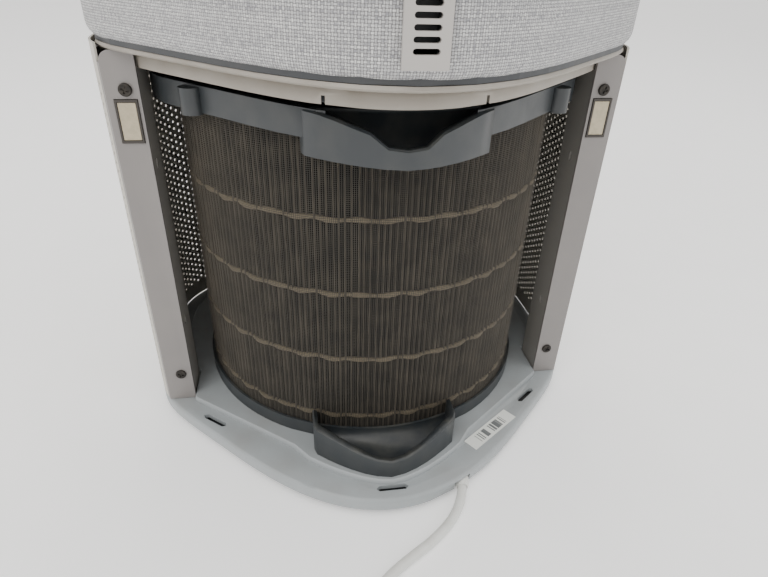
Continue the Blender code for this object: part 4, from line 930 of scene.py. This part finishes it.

# %% [markdown]
# ### The net over the pleats
#
# A fine plastic net is stretched round the drum as a pre-filter.  Its threads
# are thinner than anything that could be modelled one by one, so it is one
# thin wall whose material leaves the meshes open.  Seen flat on, it only
# darkens the paper behind; seen along, a sheen lightens its dusty threads.

# %% Net
NET_MESH_MM = 1.1
NET_OPEN = 0.76

NET_LOW, NET_HIGH = (Vector(corner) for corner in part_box("filter_net"))
net_radius = (NET_HIGH.x - NET_LOW.x) / 2.0
net = ring_wall("pre_filter_net", [(net_radius, NET_LOW.z), (net_radius, (NET_LOW.z + NET_HIGH.z) / 2.0),
                                   (net_radius, NET_HIGH.z)], 256, ROUND)
unwrap_round(net, net_radius, ROUND)
net.location = (FILTER_CENTRE[0], FILTER_CENTRE[1], 0.0)
settle(net)


def fine_net():
    made, tree, shader = new_material("Woven nylon net, dusty", "#3b3833", 0.8)
    shader.inputs["Sheen Weight"].default_value = 0.2
    shader.inputs["Sheen Roughness"].default_value = 0.5
    shader.inputs["Sheen Tint"].default_value = linear("#a0978a")
    place = add_node(tree, "ShaderNodeUVMap", {"uv_map": "along"}).outputs["UV"]
    axes = add_node(tree, "ShaderNodeSeparateXYZ", links={"Vector": place})
    closed = None
    for axis in ("X", "Y"):
        scaled = add_node(tree, "ShaderNodeMath", {"operation": "MULTIPLY",
                                                   1: cycles_per_metre(NET_MESH_MM)}, {0: axes.outputs[axis]})
        part = add_node(tree, "ShaderNodeMath", {"operation": "FRACT"}, {0: scaled.outputs[0]})
        thread = add_node(tree, "ShaderNodeMath", {"operation": "GREATER_THAN", 1: NET_OPEN},
                          {0: part.outputs[0]}).outputs[0]
        closed = thread if closed is None else add_node(
            tree, "ShaderNodeMath", {"operation": "MAXIMUM"}, {0: closed, 1: thread}).outputs[0]
    dust = ramp(tree, noise(tree, place, 12.0, 4.0), 0.35, 0.7)
    tree.links.new(mix_colours(tree, dust, "#2b2925", "#403c35"), shader.inputs["Base Color"])
    tree.links.new(closed, shader.inputs["Alpha"])
    return made


finish_piece(net, fine_net(), "filter", ("filter_net",), smooth=60.0)

# %% [markdown]
# ## The perforated wall
#
# The air enters through a sheet with thousands of small holes in staggered
# rows, 5.4 mm apart.  One six-sided cell with a hole is modelled, repeated by
# Array modifiers into a flat sheet, trimmed between two rows of holes, given
# plain margins by extruding its edges, and then rolled round the body.  It is
# made as two halves, so that neither mesh grows too large.

# %% Perforated sheet
HOLE_PITCH = 0.0054
HOLE_ACROSS = 0.0020
WALL_THICKNESS = 0.0012
WALL_LOW, WALL_HIGH = (Vector(corner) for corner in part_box("perforated_wall"))
WALL_HALF = half_at(WALL_HIGH.x, 0.0, BODY_POWER)
HOLES_LOW, HOLES_HIGH = 0.0260, 0.2370

cell_radius = HOLE_PITCH / math.sqrt(3.0)
column_step = 1.5 * cell_radius
wall_turns, wall_lengths = outline_table(WALL_HALF, BODY_POWER)
front_turn = max(t for t in wall_turns if t < 0.0
                 and outline_point(WALL_HALF, BODY_POWER, t)[1] > WALL_LOW.y)
wall_run = float(np.interp(front_turn, wall_turns, wall_lengths))
columns = int((wall_run - 0.004) / column_step / 2.0) * 2
rows_of_holes = int((HOLES_HIGH - HOLES_LOW) / HOLE_PITCH)


def perforated_flat(name):
    """The flat sheet, with x along it from the open edge and y up it."""
    bpy.ops.mesh.primitive_circle_add(vertices=6, radius=cell_radius, fill_type="NGON",
                                      rotation=(0.0, 0.0, math.pi / 2.0))
    sheet = bpy.context.object
    sheet.name = name
    settle(sheet)
    edit(sheet)
    bpy.ops.mesh.select_all(action="SELECT")
    bpy.ops.mesh.inset(thickness=(HOLE_PITCH - HOLE_ACROSS) / 2.0)
    bpy.ops.mesh.delete(type="FACE")
    done()
    for count, offset in ((2, (column_step, HOLE_PITCH / 2.0, 0.0)),
                          (columns // 2, (2.0 * column_step, 0.0, 0.0)),
                          (rows_of_holes, (0.0, HOLE_PITCH, 0.0))):
        apply_modifier(sheet, "ARRAY", count=count, use_relative_offset=False, use_constant_offset=True,
                       constant_offset_displace=offset, use_merge_vertices=False)
    edit(sheet)
    bpy.ops.mesh.select_all(action="SELECT")
    bpy.ops.mesh.remove_doubles(threshold=0.00005)
    low_cut, high_cut = HOLE_PITCH / 4.0, HOLE_PITCH * (rows_of_holes - 0.75)
    for height, side in ((low_cut, -1.0), (high_cut, 1.0)):
        bpy.ops.mesh.select_all(action="SELECT")
        bpy.ops.mesh.bisect(plane_co=(0.0, height, 0.0), plane_no=(0.0, side, 0.0), clear_outer=True)
    edges = ((0, -cell_radius / 2.0, -1.0), (0, (columns - 1) * column_step + cell_radius / 2.0, 1.0))
    for axis, place, side in edges:
        bpy.ops.mesh.select_all(action="SELECT")
        bpy.ops.mesh.bisect(plane_co=(place, 0.0, 0.0), plane_no=(side, 0.0, 0.0), clear_outer=True)
    grow_low = HOLES_LOW - WALL_LOW.z
    grow_high = WALL_HIGH.z - (HOLES_LOW + high_cut - low_cut)
    length = (columns - 1) * column_step + cell_radius
    margin = (wall_run - length) / 2.0
    sides = ((1, low_cut, (0.0, -grow_low, 0.0)), (1, high_cut, (0.0, grow_high, 0.0)),
             (0, edges[0][1], (-margin, 0.0, 0.0)), (0, edges[1][1], (margin, 0.0, 0.0)))
    for axis, place, move in sides:
        pick(sheet, "edges", lambda e: e.is_boundary
             and all(abs(v.co[axis] - place) < 0.00002 for v in e.verts))
        bpy.ops.mesh.extrude_region_move(TRANSFORM_OT_translate={"value": move})
    bpy.ops.mesh.select_all(action="SELECT")
    bpy.ops.mesh.remove_doubles(threshold=0.00005)
    done()
    for vert in sheet.data.vertices:
        vert.co.x += cell_radius / 2.0 + margin
        vert.co.y += HOLES_LOW - low_cut
    return sheet


for side, name in ((-1.0, "perforated_sheet_left"), (1.0, "perforated_sheet_right")):
    sheet = perforated_flat(name)
    for vert in sheet.data.vertices:
        turn = side * abs(float(np.interp(wall_run - vert.co.x, wall_lengths, wall_turns)))
        x, y = outline_point(WALL_HALF, BODY_POWER, turn)
        vert.co = (x, y, vert.co.y)
    if side < 0.0:
        edit(sheet)
        bpy.ops.mesh.select_all(action="SELECT")
        bpy.ops.mesh.flip_normals()
        done()
    apply_modifier(sheet, "SOLIDIFY", thickness=WALL_THICKNESS, offset=-1.0)
    finish_piece(sheet, wall_paint, "purifier", ("perforated_wall",), smooth=30.0)

# %% [markdown]
# ## Posts with their rows of holes
#
# Two staggered columns of drills run down the outer edge of each post.  They
# are one object, made from a single cylinder, and a Boolean cuts them from a
# copy of the post.  The post's outer side slants, so they only nick it.

# %% Posts
POST_HOLE = 0.0012
POST_HOLES_LOW, POST_HOLES_HIGH = 0.0225, 0.2310
EDGE_INSETS = ((0.0036, 0.0), (0.0014, 0.5))   # from the outer edge, and the share of a pitch it starts up


def drills(name, places, radius, depth):
    """Short cylinders along Y at each place, joined as one object."""
    bpy.ops.mesh.primitive_cylinder_add(vertices=12, radius=radius, depth=depth,
                                        rotation=(math.pi / 2.0, 0.0, 0.0))
    one = bpy.context.object
    settle(one)
    copies = []
    for place in places:
        copied = bpy.data.objects.new(name, one.data.copy())
        bpy.context.scene.collection.objects.link(copied)
        copied.location = place
        copies.append(copied)
    bpy.data.objects.remove(one)
    only(copies[0])
    for copied in copies:
        copied.select_set(True)
    bpy.ops.object.join()
    bpy.ops.object.transform_apply(location=True, rotation=True, scale=True)
    return bpy.context.object


for side, name in ((-1.0, "left"), (1.0, "right")):
    low, high = (Vector(corner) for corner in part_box(f"post_{name}"))
    outer_x = low.x if side < 0.0 else high.x
    places = []
    for inset, start in EDGE_INSETS:
        height = POST_HOLES_LOW + start * HOLE_PITCH
        while height < POST_HOLES_HIGH:
            places.append((outer_x - side * inset, low.y, height))
            height += HOLE_PITCH
    cutter = drills(f"drills_{name}", places, POST_HOLE, 0.0036)
    post = copy_of(f"post_{name}", f"post_moulding_{name}")
    apply_modifier(post, "BOOLEAN", object=cutter, operation="DIFFERENCE", solver="EXACT")
    bpy.data.objects.remove(cutter)
    finish_piece(post, post_abs, "purifier", (f"post_{name}",), smooth=30.0)

# %% [markdown]
# ## Screws
#
# Each post is held by two pan-head screws with a cross recess.  The head is a
# short cylinder with a rounded rim, and the recess is cut by two crossed
# bars.  Each of the four screws is a copy of it.

# %% Screw heads
screw_low, screw_high = (Vector(corner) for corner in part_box("post_screw_left_low"))
HEAD_RADIUS = (screw_high.x - screw_low.x) / 2.0
HEAD_DEPTH = screw_high.y - screw_low.y


def screw_head():
    bpy.ops.mesh.primitive_cylinder_add(vertices=40, radius=HEAD_RADIUS, depth=HEAD_DEPTH,
                                        rotation=(math.pi / 2.0, 0.0, 0.0))
    head = bpy.context.object
    settle(head)
    edit(head)
    pick(head, "edges", lambda e: all(v.co.y < -HEAD_DEPTH * 0.49 for v in e.verts))
    bpy.ops.mesh.bevel(offset=HEAD_DEPTH * 0.6, segments=4)
    done()
    for tilt in (0.35, 0.35 + math.pi / 2.0):
        bpy.ops.mesh.primitive_cube_add(size=1.0, location=(0.0, -HEAD_DEPTH / 2.0, 0.0),
                                        rotation=(0.0, tilt, 0.0),
                                        scale=(HEAD_RADIUS * 1.15, HEAD_DEPTH * 1.2, HEAD_RADIUS * 0.3))
        bar = bpy.context.object
        settle(bar)
        apply_modifier(head, "BOOLEAN", object=bar, operation="DIFFERENCE", solver="EXACT")
        bpy.data.objects.remove(bar)
    return head


head = screw_head()
for node in sorted(n for n in nodes if n.startswith("post_screw_")):
    low, high = (Vector(corner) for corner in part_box(node))
    piece = bpy.data.objects.new(node.replace("post_", "") + "_head", head.data.copy())
    bpy.context.scene.collection.objects.link(piece)
    piece.location = (low + high) / 2.0
    settle(piece)
    finish_piece(piece, screw_steel, "purifier", (node,))
bpy.data.objects.remove(head)

# %% [markdown]
# ## Finishes for the parts that keep their CAD shape

# %% Assign the finishes
KEPT = {
    "base_plate": inner_abs, "rating_label": label_white,
    "post_flange_left": flange_abs, "post_flange_right": flange_abs,
    "strike_frame_left": frame_abs, "strike_frame_right": frame_abs,
    "strike_plate_left": keeper_steel, "strike_plate_right": keeper_steel,
    "inlet_plate": inner_abs, "inner_housing": inner_abs, "fan_duct": inner_abs,
    "motor_mount": inner_abs, "fan_motor": bare_steel, "fan_shaft": bare_steel, "impeller": inner_abs,
    "sensor_grille": cover_abs, "particle_sensor": inner_abs,
    "power_board": board_green, "control_board": board_green, "control_panel": inner_abs,
    "outlet_grille": inner_abs, "button_1": cover_abs, "button_2": cover_abs, "button_3": cover_abs,
    "filter_core": carbon_mesh, "filter_seal": seal_foam,
    "cord_gland": plug_pvc, "mains_plug": plug_pvc, "plug_pin_a": bare_steel, "plug_pin_b": bare_steel,
    "foot_1": foot_rubber, "foot_2": foot_rubber, "foot_3": foot_rubber, "foot_4": foot_rubber,
}
for name, material in KEPT.items():
    nodes[name].data.materials.clear()
    nodes[name].data.materials.append(material)

floor_paint, tree, shader = new_material("Matt floor paint, white", "#f7f7f6", 0.8)
shader.inputs["Emission Color"].default_value = linear("#ffffff")
shader.inputs["Emission Strength"].default_value = 0.25
place = add_node(tree, "ShaderNodeTexCoord").outputs["Object"]
tree.links.new(mix_colours(tree, noise(tree, place, 40.0), "#f4f4f3", "#fafafa"), shader.inputs["Base Color"])
floor.data.materials.append(floor_paint)

# %% [markdown]
# ## Print the visual box and finish

# %% Finish
low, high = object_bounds()
print("visual box", [round(v, 4) for v in (*low, *high)])
